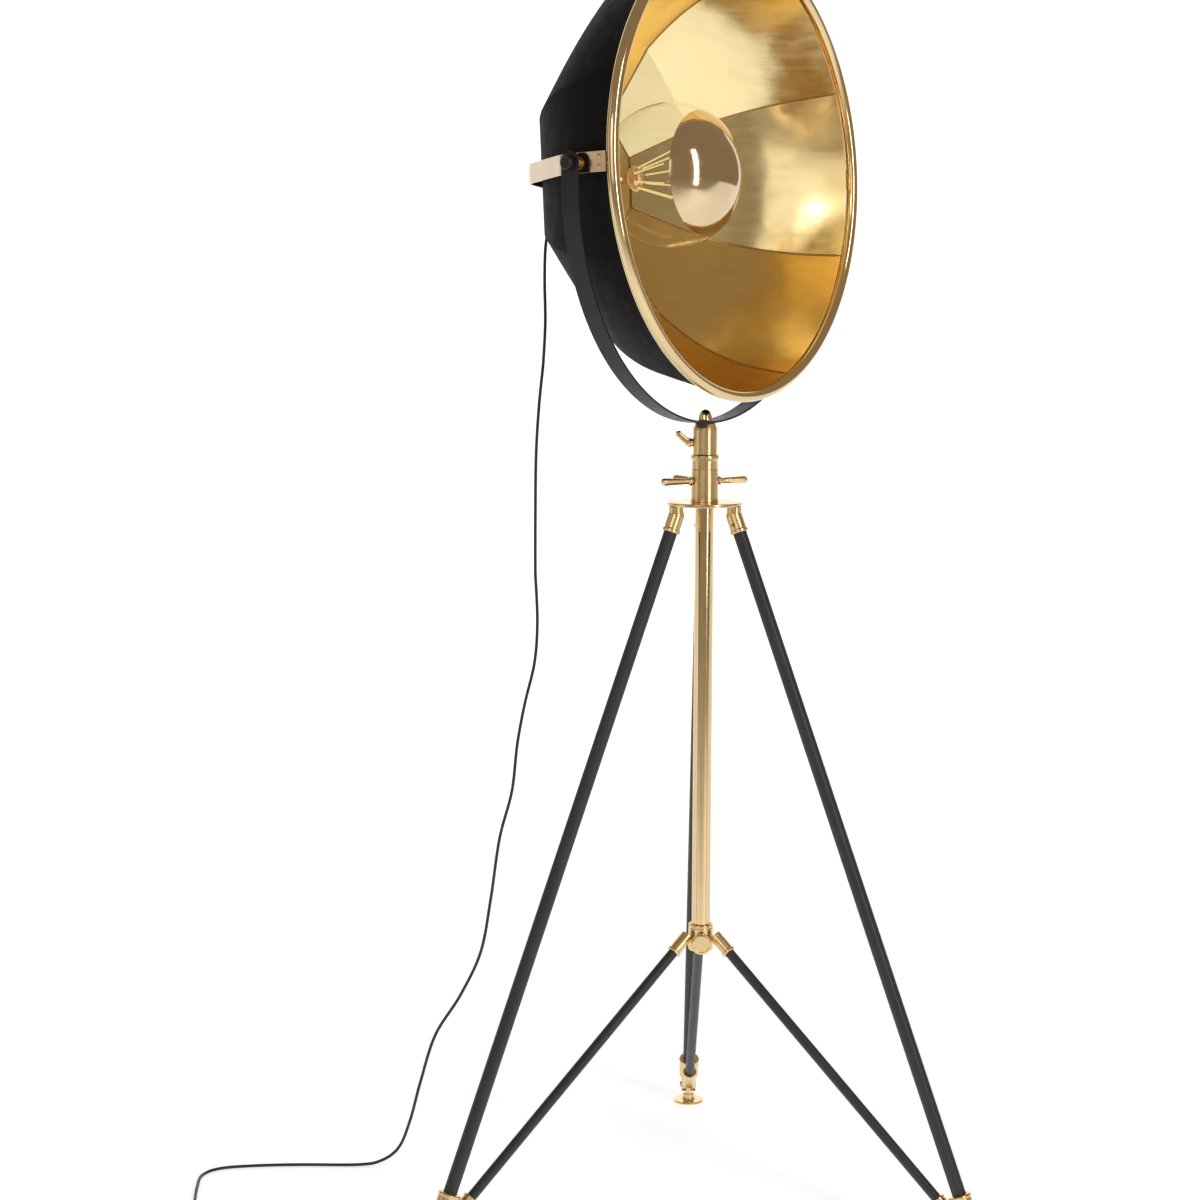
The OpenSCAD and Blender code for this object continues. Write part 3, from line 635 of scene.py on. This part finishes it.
def make_leg(name, angle):
    """One leg with its elbow socket, brace and foot fitting."""
    turn = turned(angle)
    leg = turn @ leg_line(0)
    brace = turn @ brace_line(0)
    socket = Shape()
    stub = [(0, 978), (10, 978), (10, PLATE_UNDER), (0, PLATE_UNDER)]
    bend_r = LEG_TOP_R + 14 * math.sin(LEAN_LEG)
    socket.turn(stub, 0.4, turn @ shift(bend_r, 0, 0), 64)
    ball = [(11.25 * math.sin(math.pi * k / 16), -11.25 * math.cos(math.pi * k / 16)) for k in range(17)]
    socket.lathe(ball, turn @ leg_line(14), 64)
    sleeve = [(9.7, 14), (11.25, 14), (11.25, 32.6), (12.0, 33), (12.6, 34), (12.6, 37.2), (11.9, 38),
              (9.7, 38)]
    socket.turn(sleeve, 0.35, leg, 72, closed=True)
    socket.in_brass(f"leg_elbow_{name}", "stand", f"leg_socket_{name}")

    tube_leg = Shape()
    tube_leg.pipe(LEG_R, LEG_R - 1.5, 20, LEG_END, leg, 0.5, 64)
    tube_leg.piece(f"leg_tube_{name}", "stand", "black_paint", TUBE, f"leg_{name}")
    length = math.hypot(BRACE_OUT, BRACE_DROP)
    rod = Shape()
    rod.pipe(BRACE_R, BRACE_R - 1.2, 2, length + 14, brace, 0.5, 56)
    rod.piece(f"brace_rod_{name}", "stand", "black_paint", TUBE, f"brace_{name}")

    foot = Shape()
    mouth = LEG_END - 24
    cup = [(9.6, mouth), (12.4, mouth + 0.6), (14.4, mouth), (15.8, mouth + 1.2), (15.8, mouth + 3.6),
           (15, mouth + 4.6), (15, mouth + 32), (12, mouth + 36), (0, mouth + 36), (0, LEG_END + 1),
           (9.6, LEG_END + 1)]
    foot.turn(cup, 0.5, leg, 72, closed=True)
    cuff = [(7.1, length), (10.2, length), (10.8, length + 0.8), (10.8, length + 3), (10, length + 3.8),
            (10, length + 40), (7, length + 44), (0, length + 44), (0, length + 15), (7.1, length + 15)]
    foot.turn(cuff, 0.4, brace, 64, closed=True)
    knuckle = knuckle_of(angle)
    foot.turn([(0, 36.5), (11, 36.5), (11, 52), (8.5, 60), (0, 64)], 1.2, knuckle, 64)
    for side in (-1, 1):
        ear = knuckle @ shift(0, side * 7.25, PIN_Z) @ ON_EDGE
        outline = [(11 * math.sin(math.radians(a)), -11 * math.cos(math.radians(a)))
                   for a in range(-96, 97, 8)] + [(10.9, 12), (-10.9, 12)]
        slab(foot, outline, 7.4, ear, 0.6)
    foot.in_brass(f"foot_fork_{name}", "stand", f"foot_fitting_{name}")
    make_pad(name, knuckle)


def slab(shape, outline, thick, place, edge):
    """A flat plate cut to an outline of (x, y) points, centred on z 0, with bevelled edges."""
    made = bmesh.new()
    low = [made.verts.new((x, y, -thick / 2)) for x, y in outline]
    face = made.faces.new(low)
    grown = bmesh.ops.extrude_face_region(made, geom=[face])
    for v in grown["geom"]:
        if isinstance(v, bmesh.types.BMVert):
            v.co.z = thick / 2
    rims = [e for e in made.edges if abs(e.verts[0].co.z - e.verts[1].co.z) < 1e-6]
    bmesh.ops.bevel(made, geom=rims, offset=edge, segments=3, profile=0.5, affect="EDGES")
    shape.take(made, place)


def make_pad(name, knuckle):
    """A foot pad: turned disc, raised boss and the tongue that its hinge pin goes through."""
    pad = Shape()
    profile = [(0, 0), (22.6, 0), (24, 1.1), (24, 3), (22.8, 4), (12, 4.2), (10, 5.4), (9, 7.2), (9, 13),
               (7.6, 14.5), (0, 14.5)]
    pad.turn(profile, 0.8, knuckle, 96)
    tongue = knuckle @ shift(0, 0, PIN_Z) @ ON_EDGE
    outline = [(7 * math.sin(math.radians(a)), 7 * math.cos(math.radians(a))) for a in range(-90, 91, 10)]
    slab(pad, outline + [(7, -16), (-7, -16)], 6.4, tongue, 0.5)
    pad.in_brass(f"foot_disc_{name}", f"foot_{name}", f"foot_pad_{name}")


def make_small_hardware():
    """Hinge pins with round heads and tail caps, and the grub screws with round socket recesses."""
    pins, screws = Shape(), Shape()
    for angle in SIDES.values():
        across = knuckle_of(angle, PIN_Z) @ Matrix.Rotation(-math.pi / 2, 4, "X")
        pins.rod(3, -11.2, 11.2, across, 0.3, 40)
        pins.turn([(0, 11.1), (4.4, 11.1), (4.4, 12.8), (3.4, 14), (0, 14)], 0.4, across, 48)
        pins.turn([(0, -12), (2.6, -12), (3.0, -11), (0, -11)], 0.3, across, 40)
        side = turned(angle) @ leg_line(26) @ ON_EDGE
        socket = [(0, 9.6), (2.45, 9.6), (2.45, 12.05), (1.4, 12.05), (1.25, 10.6), (0, 10.6)]
        screws.turn(socket, 0.2, side, 24)
    pins.in_brass("foot_hinge_pins", "stand", "foot_pins")
    screws.piece("grub_screws", "stand", "black_steel", DARK, "socket_screws")


def make_brace_hub():
    """Hub on the column's lower end with three arms for the braces."""
    hub = Shape()
    sleeve = [(13.2, 366), (13.2, 398), (15, 400), (16.8, 400), (17.5, 399), (17.5, 397.6), (16.9, 397),
              (16.9, 395), (17.5, 394.4), (17.5, 364), (16, 362), (0, 362), (0, 366)]
    hub.turn(sleeve, 0.5, around=96, closed=True)
    arm = [(7.1, 2), (7.1, 20), (9.4, 20), (10.4, 19.2), (10.4, 16.6), (9.6, 15.8), (9, 15.4), (9, -12),
           (0, -12), (0, 2)]
    for angle in SIDES.values():
        place = turned(angle) @ brace_line(0)
        hub.turn(arm, 0.4, place, 64, closed=True)
    hub.in_brass("brace_hub_body", "stand", "brace_hub")
    knob = Shape()
    face = [(0, 13.4), (3, 13.4), (3, 18), (6, 18), (6, 21.8), (13.4, 22), (14.4, 23), (14.4, 28.6),
            (13.6, 29.7), (11.6, 30), (11, 29.4), (0, 29.4)]
    knob.turn(face, 0.5, toward((0, 0, HUB_KNOB_Z * MM), (0, -1, 0)), 96)
    knob.in_brass("hub_lock_knob", "hub_knob", "hub_knob")


def make_clamps():
    """Three tapered clamp levers and the winged screw that locks the swivel."""
    rod = [(0, 11.6), (3, 11.6), (3, 19.8), (5.6, 19.8), (6, 20.4), (6, 23), (5.4, 24), (3.9, 24.6),
           (4.0, 30), (5.3, 59.5), (5.3, 62.2), (4.3, 64.4), (2.4, 65.2), (0, 65.3)]
    for n, angle in LEVERS.items():
        lever = Shape()
        place = turned(angle) @ toward((0, 0, CLAMP_Z * MM), (1, 0, 0))
        lever.turn(rod, 0.6, place, 56)
        lever.in_brass(f"tapered_lever_{n}", f"clamp_lever_{n}", f"clamp_lever_{n}")
    place = turned(WING_TURN) @ shift(0, 0, WING_Z)
    wing = Shape()
    boss = [(0, 8.5), (3, 8.5), (3, 17.5), (5.2, 17.5), (5.5, 18.2), (5.5, 22.6), (4.6, 24), (0, 24.6)]
    wing.turn(boss, 0.6, place @ toward((0, 0, 0), (1, 0, 0)), 56)
    path, sizes = [], []
    for k in range(15):
        t = k / 14
        path.append((19.5 + 20.5 * t + 1.2 * math.sin(math.pi * t), 0, -0.6 + 16.2 * t ** 1.25))
        end = math.sqrt(max(0.02, 1 - max(0, (t - 0.86) / 0.14) ** 2))
        waist = math.sin(math.pi * 0.5 * min(1, t * 1.5))
        sizes.append(((6.0 - 1.6 * t) * end, (13.5 - 6.2 * waist + 2.2 * t) * end))
    wing.sweep(path, oval(1, 1, 28, 2.6), (0, 1, 0), place, sizes)
    wing.in_brass("swivel_wing_screw", "swivel_lever", "swivel_lever")


def make_mast():
    """Inner mast with the swivel barrel on top, and the spigot and nut that hold the yoke."""
    mast = Shape()
    mast.pipe(11, 9.2, MAST_FOOT, 1058.5, edge=0.4, around=80)
    mast.piece("mast_inner_tube", "mast", "brass_satin", POLISHED, "mast_tube")
    barrel = Shape()
    profile = [(11.1, SWIVEL_FOOT), (18.3, SWIVEL_FOOT), (18.3, 1055.2), (19.4, 1056.2), (20.3, 1057.2),
               (20.3, 1061.2), (19.2, 1062.7), (17.2, 1063.2), (17.2, SWIVEL_TOP), (8.05, SWIVEL_TOP),
               (8.05, 1060), (11.1, 1058)]
    barrel.turn(profile, 0.6, around=96, closed=True)
    barrel.in_brass("swivel_barrel_body", "mast", "swivel_barrel")
    spigot = Shape()
    profile = [(0, 1067.6), (8, 1067.6), (8, 1097.9), (17, 1097.9), (17, 1099), (14.3, 1105.4),
               (13.8, 1106), (3, 1106), (3, 1113), (0, 1113)]
    spigot.turn(profile, 0.7, around=96)
    spigot.in_brass("yoke_swivel_pin", "yoke", "yoke_spigot")
    nut = Shape()
    profile = [(0, 1109.2), (9.6, 1109.2), (10, 1110), (9.8, 1112), (8.6, 1117.6), (8.2, 1118.4)]
    dome = [(8.1 * math.cos(a), 1117.2 + 7.8 * math.sin(a)) for a in
            [math.radians(d) for d in range(12, 91, 6)]]
    nut.lathe(profile + dome[:-1] + [(0, 1125.0)], around=80)
    nut.piece("acorn_nut_body", "yoke", "brass_satin", POLISHED, "acorn_nut")


def make_yoke():
    """A flat steel strip bent to a U, with round ends and softened edges."""
    radius, drop = 320.0, 18.5
    path, sizes = [], []
    top = 15.0
    rise = [top - 13 * (1 - math.cos(math.radians(a))) for a in range(0, 91, 10)]
    for z in rise:
        path.append((0, -radius, z))
        sizes.append((max(0.16, math.sqrt(max(0, 169 - (z - 2) ** 2)) / 13), 1))
    arc = 96
    for k in range(arc + 1):
        a = math.pi * k / arc
        path.append((0, -radius * math.cos(a), -drop - radius * math.sin(a)))
        sizes.append((1, 1))
    path += [(0, radius, z) for z in reversed(rise)]
    sizes += sizes[len(rise) - 1::-1]
    place = Matrix.Translation(HEAD.translation) @ yaw_only()
    strip = Shape()
    strip.sweep(path, strip_section(26, 3, 0.7), (1, 0, 0), place, sizes)
    strip.piece("yoke_strip", "yoke", "black_paint", BLACK, "yoke_bow")


def yaw_only():
    axis = Vector(JOINTS["head_tilt"]["axis"])
    return Matrix.Rotation(math.atan2(-axis.x, axis.y), 4, "Z")


# -------- head

RIM_X, EDGE_S, CREASE_S, PLATE_S = 54.0, 8.6, 195.0, 240.0  # along the dish's axis
RIM_R, RIM_TUBE_R, EDGE_R, CREASE_R, PLATE_R = 304.0, 8.0, 301.0, 200.0, 92.0
HOLE_R, SHEET = 20.4, 0.9  # the plate's hole; the gold sheet's thickness
SEAM_TURN = 1.0  # degrees
CORNER = 22.5  # a corner's angle from the middle of its side
HOUSING_BACK = -237.8


def dish_profile(fine, hub):
    """Rows of (depth, corner radius, share of roundness) from the rim to the plate or the hub."""
    rows = []
    for k in range(fine + 1):
        x = k / fine
        rows.append((EDGE_S + (CREASE_S - EDGE_S) * x,
                     EDGE_R - (EDGE_R - CREASE_R) * (0.35 * x + 0.65 * x ** 3), 1 - x))
    for t in (0.02, 0.3, 0.6, 0.9, 0.98, 1.0):
        rows.append((CREASE_S + (PLATE_S - CREASE_S) * t, CREASE_R + (PLATE_R - CREASE_R) * t, 0))
    if hub:
        for r in (89.0, 60.0, 30.0, 22.0):
            rows.append((PLATE_S, r, 0))
    return rows


def pushed(rows, distance):
    """The rows moved outward by a distance, square to the profile."""
    made = []
    for i, (s, r, b) in enumerate(rows):
        a, c = rows[max(i - 1, 0)], rows[min(i + 1, len(rows) - 1)]
        run = Vector((c[0] - a[0], c[1] - a[1])).normalized()
        made.append((s - distance * run.y, r + distance * run.x, b))
    return made


def flatness(degrees):
    """How far in an octagon's side lies at an angle, as a share of its corners' radius."""
    inside = (degrees + CORNER) % 45 - CORNER
    return math.cos(math.radians(CORNER)) / math.cos(math.radians(inside))


def dish_point(row, degrees):
    """A point of the dish at an angle in degrees, in the head's frame."""
    s, r, b = row
    reach = r * (b + (1 - b) * flatness(degrees))
    a = math.radians(degrees + SEAM_TURN)
    return (RIM_X - s, reach * math.cos(a), reach * math.sin(a))


def sheet_between(shape, inner, outer, angles, closed):
    """A thin curved sheet between two sets of rows, over a list of angles."""
    count, last = len(angles), len(inner) - 1
    points = [dish_point(row, a) for rows in (inner, outer) for row in rows for a in angles]
    layer = (last + 1) * count

    def at(skin, i, k):
        return skin * layer + i * count + k % count

    faces = []
    for i in range(last):
        for k in range(count if closed else count - 1):
            faces.append([at(0, i, k), at(0, i, k + 1), at(0, i + 1, k + 1), at(0, i + 1, k)])
            faces.append([at(1, i, k), at(1, i + 1, k), at(1, i + 1, k + 1), at(1, i, k + 1)])
        if not closed:
            faces.append([at(0, i, 0), at(0, i + 1, 0), at(1, i + 1, 0), at(1, i, 0)])
            n = count - 1
            faces.append([at(0, i, n), at(1, i, n), at(1, i + 1, n), at(0, i + 1, n)])
    for i in (0, last):
        for k in range(count if closed else count - 1):
            faces.append([at(0, i, k), at(1, i, k), at(1, i, k + 1), at(0, i, k + 1)])
    shape.add(points, faces, HEAD)


def make_shell():
    """Black outer shell: eight-sided at the back, round at the rim."""
    shell = Shape()
    rows = dish_profile(30, True)
    edge = [-22.4, -22.0, -21.4, -20.5, -18, -14, -9.5, -4.5, 0, 4.5, 9.5, 14, 18, 20.5, 21.4, 22.0, 22.4]
    angles = [45 * n + a for n in range(8) for a in edge]
    sheet_between(shell, pushed(rows, 1.4), pushed(rows, 2.5), angles, True)
    shell.piece("shell_outer", "head", "shell_paint", MATT, "outer_shell", sharp=60)


def make_reflector():
    """Eight polished gores with folded seams between them, and the octagonal centre plate."""
    rows = dish_profile(34, False)
    angles = [-22.38 + 44.76 * k / 20 for k in range(21)]
    for n in range(8):
        gore = Shape()
        sheet_between(gore, rows, pushed(rows, SHEET), [45 * n + a for a in angles], False)
        # Each gore's gold is shifted towards amber by its share: painted reflected light from the other
        # gores.
        tone = Vector(GOLD).lerp(Vector(PAINTED_BOUNCE_AMBER), PAINTED_BOUNCE_SHARES[n])
        gold = gold_sheet(f"gold_sheet_{n + 1}", tuple(tone))
        gore.piece(f"reflector_gore_{n + 1}", "head", "gold_leaf", gold, f"gore_{n + 1}", sharp=60)
    plate = Shape()
    spot = ALONG_HEAD @ shift(0, 0, RIM_X - PLATE_S - SHEET)
    outer = PLATE_R - 0.6
    profile = rounded([(HOLE_R, 0), (outer, 0), (outer, SHEET), (HOLE_R, SHEET)], 0.25, closed=True)
    skin = []
    for r, z in profile:
        share = (r - HOLE_R) / (outer - HOLE_R)
        for k in range(64):
            a = 45 * k / 8
            reach = r * (1 - share + share * flatness(a + CORNER))
            turn = math.radians(a + CORNER - SEAM_TURN)
            skin.append((reach * math.cos(turn), reach * math.sin(turn), z))
    plate.add(skin, ring_faces(len(profile), 64, loop=True), spot)
    plate.piece("reflector_plate", "head", "gold_leaf", gold_sheet("gold_plate", GOLD), "centre_plate")

    seams = Shape()
    for n in range(8):
        angle = 45 * n + 22.5
        line = [dish_point(row, angle) for row in pushed(rows, -0.35)]
        across = (0, -math.sin(math.radians(angle + SEAM_TURN)), math.cos(math.radians(angle + SEAM_TURN)))
        seams.sweep(line[1:-1], oval(3.2, 1.6, 10), across, HEAD)
    corners = [Vector(dish_point((PLATE_S - 0.5, PLATE_R, 0), 45 * n + 22.5)) for n in range(8)]
    ring = [a.lerp(b, k / 5) for a, b in zip(corners, corners[1:] + corners[:1]) for k in range(5)]
    seams.sweep(ring, oval(3.0, 1.4, 10), (1, 0, 0), HEAD, loop=True)
    seams.piece("reflector_seams", "head", "brass_polished", SEAM)


def make_rim():
    """Rolled rim ring, round in section."""
    points = []
    section = oval(2 * RIM_TUBE_R, 2 * RIM_TUBE_R, 32)
    for k in range(192):
        a = math.tau * k / 192
        points += [((RIM_R + u) * math.cos(a), (RIM_R + u) * math.sin(a), v) for u, v in section]
    rim = Shape()
    rim.add(points, ring_faces(192, 32, loop=True), ALONG_HEAD @ shift(0, 0, RIM_X))
    rim.piece("rim_rolled_ring", "head", "brass_polished", POLISHED, "rim_ring")


def make_band():
    """Flat band round the back of the dish, with its pivot bolts and spacers."""
    side = 306.5
    half = [(RIM_X - 8.2, side), (-18, side), (-152, 206), (-202, 96)]
    corners = half + [(x, -y) for x, y in reversed(half)]
    flat = rounded(corners, 24, steps=7)
    path = []
    for (x0, y0), (x1, y1) in zip(flat, flat[1:]):
        count = max(1, int(math.hypot(x1 - x0, y1 - y0) / 25))
        path += [(x0 + (x1 - x0) * k / count, y0 + (y1 - y0) * k / count, 0) for k in range(count)]
    path.append((*flat[-1], 0))
    band = Shape()
    band.sweep(path, strip_section(26, 3, 0.6), (0, 0, 1), HEAD)
    for s in (-1, 1):
        for z in (-6.5, 6.5):
            rivet = toward(HEAD @ Vector((0.036, s * 0.3079, z * MM)), HEAD.to_3x3() @ Vector((0, s, 0)))
            band.turn([(0, 0), (3.2, 0), (2.9, 0.9), (1.6, 1.6), (0, 1.8)], 0.3, rivet, 28)
    band.piece("back_band_strip", "head", "brass_satin", BAND, "back_band")
    bolts = Shape()
    for s in (-1, 1):
        place = toward(HEAD.translation, HEAD.to_3x3() @ Vector((0, s, 0)))
        bolts.rod(4, 302, 329.3, place, 0.4, 40)
        spacer = [(4, 308), (7.5, 308), (7.5, 311.4), (6.4, 312), (6.4, 314.2), (7.5, 314.8), (7.5, 318.2),
                  (4, 318.2)]
        bolts.turn(spacer, 0.4, place, 56, closed=True)
        bolts.turn([(0, 302), (7, 302), (7, 304.9), (0, 304.9)], 0.7, place, 6)
        knob = Shape()
        face = [(0, 329.5), (4.1, 329.5), (4.1, 321.8), (9, 321.8), (9, 329.2), (8, 331.2), (6.6, 331.6),
                (6.2, 331), (0, 331)]
        knob.turn(face, 0.6, place, 72)
        for k in range(30):
            ridge = place @ turned(k * 12) @ shift(9, 0, 0)
            knob.block((-0.5, -0.42, 322.6), (0.35, 0.42, 328.4), ridge, 0.2)
        side_name = "near" if s < 0 else "far"
        knob.piece(f"pivot_nut_{side_name}", f"pivot_knob_{side_name}", "brass_satin", DARK,
                   f"pivot_knob_{side_name}")
    bolts.in_brass("pivot_shoulder_bolts", "head", "pivot_bolts")


def make_bulb():
    """Clear globe with a mirrored front, its screw base, stem and filaments."""
    centre, radius, wall = -59.0, 100.0, 1.2
    mirror_back = 52.7    # from the globe's centre forward to the mirrored front's edge

    def globe(r, neck):
        """Profile from the neck's end to the front: neck, soft shoulder and sphere."""
        join = math.asin((neck + 7) / r)
        arc = [(r * math.sin(a), centre - r * math.cos(a)) for a in
               [join + (math.pi - join) * k / 60 for k in range(61)]]
        shoulder_z = centre - r * math.cos(join)
        shoulder = []
        for k in range(1, 8):
            t = k / 8
            shoulder.append((neck + 7 * t ** 2.2, -157 + (shoulder_z + 157) * t ** 0.8))
        return [(neck, -159)] + shoulder + arc[:-1] + [(0, centre + r)]

    glass = Shape()
    outer = [(14.4, -168), (17.8, -162)] + globe(radius, 19)
    inner = [(12.9, -168), (16.4, -161.6)] + globe(radius - wall, 17.8)
    glass.lathe(outer + inner[::-1], ALONG_HEAD, 96, closed=True)
    glass.piece("bulb_globe", "head", "glass", GLASS, "bulb_glass", sharp=60)

    def skin(r):
        """The mirrored front's profile at a radius, from the axis out to its edge."""
        angles = [math.acos(mirror_back / radius) * k / 40 for k in range(41)]
        return [(r * math.sin(a), centre + r * math.cos(a)) for a in angles]

    cap = Shape()
    cap.lathe(skin(radius + 0.12) + skin(radius + 0.4)[::-1], ALONG_HEAD, 96)
    cap.piece("bulb_mirror_front", "head", "mirror", MIRROR, "bulb_mirror", sharp=60)

    base = Shape()
    thread = [(12.3, -168)]
    for k in range(60):
        t = k / 12
        thread.append((12.9 + 0.55 * math.cos(math.tau * t), -169.5 - 3.6 * t))
    base.lathe([(0, -168)] + thread + [(12.2, -190), (8, -192.6), (6, -193), (5.6, -195.6), (0, -196)],
               ALONG_HEAD, 72)
    base.piece("bulb_screw_base", "head", "plated_steel", NICKEL, "bulb_base")

    stem = Shape()
    flare = [(0, -167.9), (11.4, -167.9), (10.2, -160), (6.4, -150), (5.2, -138), (6.0, -128), (8, -121.5),
             (0, -121.5)]
    stem.turn(flare, 1.5, ALONG_HEAD, 56)
    disc = [(0, -121.4), (15, -121.4), (18, -120.2), (18, -118.4), (16, -117.4), (9, -117.6), (6, -115),
            (0, -114)]
    stem.turn(disc, 0.7, ALONG_HEAD, 72)
    stem.piece("bulb_stem_disc", "head", "filament", COPPER, "bulb_stem")
    rods, wires = Shape(), Shape()
    for k in range(8):
        spoke = ALONG_HEAD @ turned(45 * k + 20)
        start, end = Vector((0.013, 0, -0.1165)), Vector((0.0355, 0, -0.0475))
        rods.rod(1.1, 6, (end - start).length / MM - 2, spoke @ toward(start, end - start), 0.5, 20)
        wires.rod(0.45, 0, 8, spoke @ toward(start, end - start), 0.1, 12)
        wires.rod(0.45, 0, 4, spoke @ toward(end, start - end), 0.1, 12)
        wires.rod(0.45, 0, 36, spoke @ toward(end, Vector((-1, 0, 0.05))), 0.1, 12)
    rods.piece("bulb_filaments", "head", "filament", GLOW)
    wires.piece("bulb_lead_wires", "head", "plated_steel", NICKEL)


def make_holder():
    """Ribbed lamp holder, rear terminal housing and the tapered cord relief."""
    holder = Shape()
    profile = [(13.7, -168.4), (18.6, -168.4), (20, -169.6)]
    for k in range(5):
        z = -172 - 4.2 * k
        profile += [(20, z), (19.2, z - 0.6), (19.2, z - 1.6), (20, z - 2.2)]
    profile += [(20, -196), (18.6, -199), (5, -199), (5, -212.5), (0, -212.5), (0, -196.5), (13.7, -196.5)]
    holder.turn(profile, 0.3, ALONG_HEAD, 80, closed=True)
    holder.piece("lamp_socket", "head", "black_plastic", PLASTIC, "lamp_holder")
    housing = Shape()
    profile = [(0, -203.8), (21, -203.8), (22, -204.8), (22, -209), (21.4, -209.4), (21.4, -210.2),
               (22, -210.6), (22, HOUSING_BACK + 2), (20.5, HOUSING_BACK), (0, HOUSING_BACK)]
    housing.turn(profile, 0.5, ALONG_HEAD, 96)
    for y in (-11, 11):
        screw = ALONG_HEAD @ shift(0, y, HOUSING_BACK) @ Matrix.Rotation(math.pi, 4, "X")
        housing.turn([(0, -1), (2.9, -1), (2.6, 1), (1.2, 1.5), (0, 1.5)], 0.3, screw, 32)
    housing.piece("terminal_housing", "head", "black_paint", BLACK, "rear_housing")
    relief = Shape()
    place = HEAD @ shift(HOUSING_BACK, 0, -22) @ Matrix.Rotation(math.radians(-135), 4, "Y")
    profile = [(0, -12), (6, -12), (6, 2), (5.7, 2.6)]
    for k in range(6):
        z, r = 4 + 3.1 * k, 5.5 - 0.38 * k
        profile += [(r, z), (r - 0.7, z + 0.5), (r - 0.7, z + 1.5), (r - 0.15, z + 2.0)]
    profile += [(3.2, 23), (3.0, 24), (0, 24)]
    relief.turn(profile, 0.2, place, 40)
    relief.piece("cord_strain_relief", "head", "black_plastic", PLASTIC, "cord_relief")


# -------- studio

def soft_light(name, at, target, size, power):
    data = bpy.data.lights.new(name, "AREA")
    data.shape, data.size, data.size_y = "RECTANGLE", size[0], size[1]
    data.energy = power
    made = bpy.data.objects.new(name, data)
    bpy.context.scene.collection.objects.link(made)
    made.location = at
    made.rotation_euler = (Vector(target) - Vector(at)).to_track_quat("-Z", "Y").to_euler()


def make_studio():
    """Pale seamless floor that sweeps up behind, soft boxes and a dim warm room."""
    floor = bmesh.new()
    half_width, near, bend_at, bend_r, top = 12, -11.0, 8.0, 2.5, 10.0
    angles = [math.radians(d) for d in range(0, 91, 6)]
    bend = [(bend_at + bend_r * math.sin(a), bend_r * (1 - math.cos(a))) for a in angles]
    line = [(near, 0.0)] + bend + [(bend_at + bend_r, top)]
    rows = [[floor.verts.new((x, y, z - 0.0002)) for x in (-half_width, half_width)] for y, z in line]
    for a, b in zip(rows, rows[1:]):
        floor.faces.new([a[0], a[1], b[1], b[0]])
    mesh = bpy.data.meshes.new("studio_floor")
    floor.to_mesh(mesh)
    floor.free()
    mesh.shade_smooth()
    pale = Surface("pale_floor", (0.93, 0.93, 0.93), 0.75, 0.0, Specular_IOR_Level=0.2)
    pale.color(pale.noise(1.5, 3), [(0.3, (0.92, 0.92, 0.92)), (0.7, (0.94, 0.94, 0.94))])
    pale.shader.inputs["Emission Color"].default_value = (0.86, 0.93, 1, 1)
    place = pale.node("ShaderNodeSeparateXYZ")
    pale.link(pale.node("ShaderNodeTexCoord").outputs["Object"], place.inputs["Vector"])
    glow = pale.spread(place.outputs["Y"], 0.02, 0.64, start=-2.6, end=-1.3)
    pale.link(glow, pale.shader.inputs["Emission Strength"])
    mesh.materials.append(pale.material)
    stage = bpy.data.objects.new("studio_floor", mesh)
    bpy.context.scene.collection.objects.link(stage)

    world = bpy.data.worlds.new("studio")
    bpy.context.scene.world = world
    world.use_nodes = True
    world.node_tree.nodes["Background"].inputs["Color"].default_value = (0.29, 0.232, 0.168, 1)
    world.node_tree.nodes["Background"].inputs["Strength"].default_value = 1.0
    soft_light("key_strip", (2.0, -2.6, 2.0), (0, 0, 1.0), (0.35, 3.2), 34)
    soft_light("front_panel", (-1.6, -4.4, 2.25), (0, 0, 1.45), (2.9, 2.3), 18)
    soft_light("front_core", (-1.8, -3.8, 2.75), (0, 0, 1.45), (0.8, 0.7), 5)
    soft_light("left_box", (-3.2, -0.9, 1.6), (0, 0, 1.2), (1.2, 3.0), 5)
    soft_light("back_wash", (0.0, 3.0, 6.0), (0, 10.5, 3.0), (7.0, 2.5), 150)
    bpy.context.scene.view_settings.view_transform = "Standard"


# -------- the scene

make_camera()
make_cords()
make_top()
for side, degrees in SIDES.items():
    make_leg(side, degrees)
make_small_hardware()
make_brace_hub()
make_clamps()
make_mast()
make_yoke()
make_shell()
make_reflector()
make_rim()
make_band()
make_bulb()
make_holder()
make_studio()
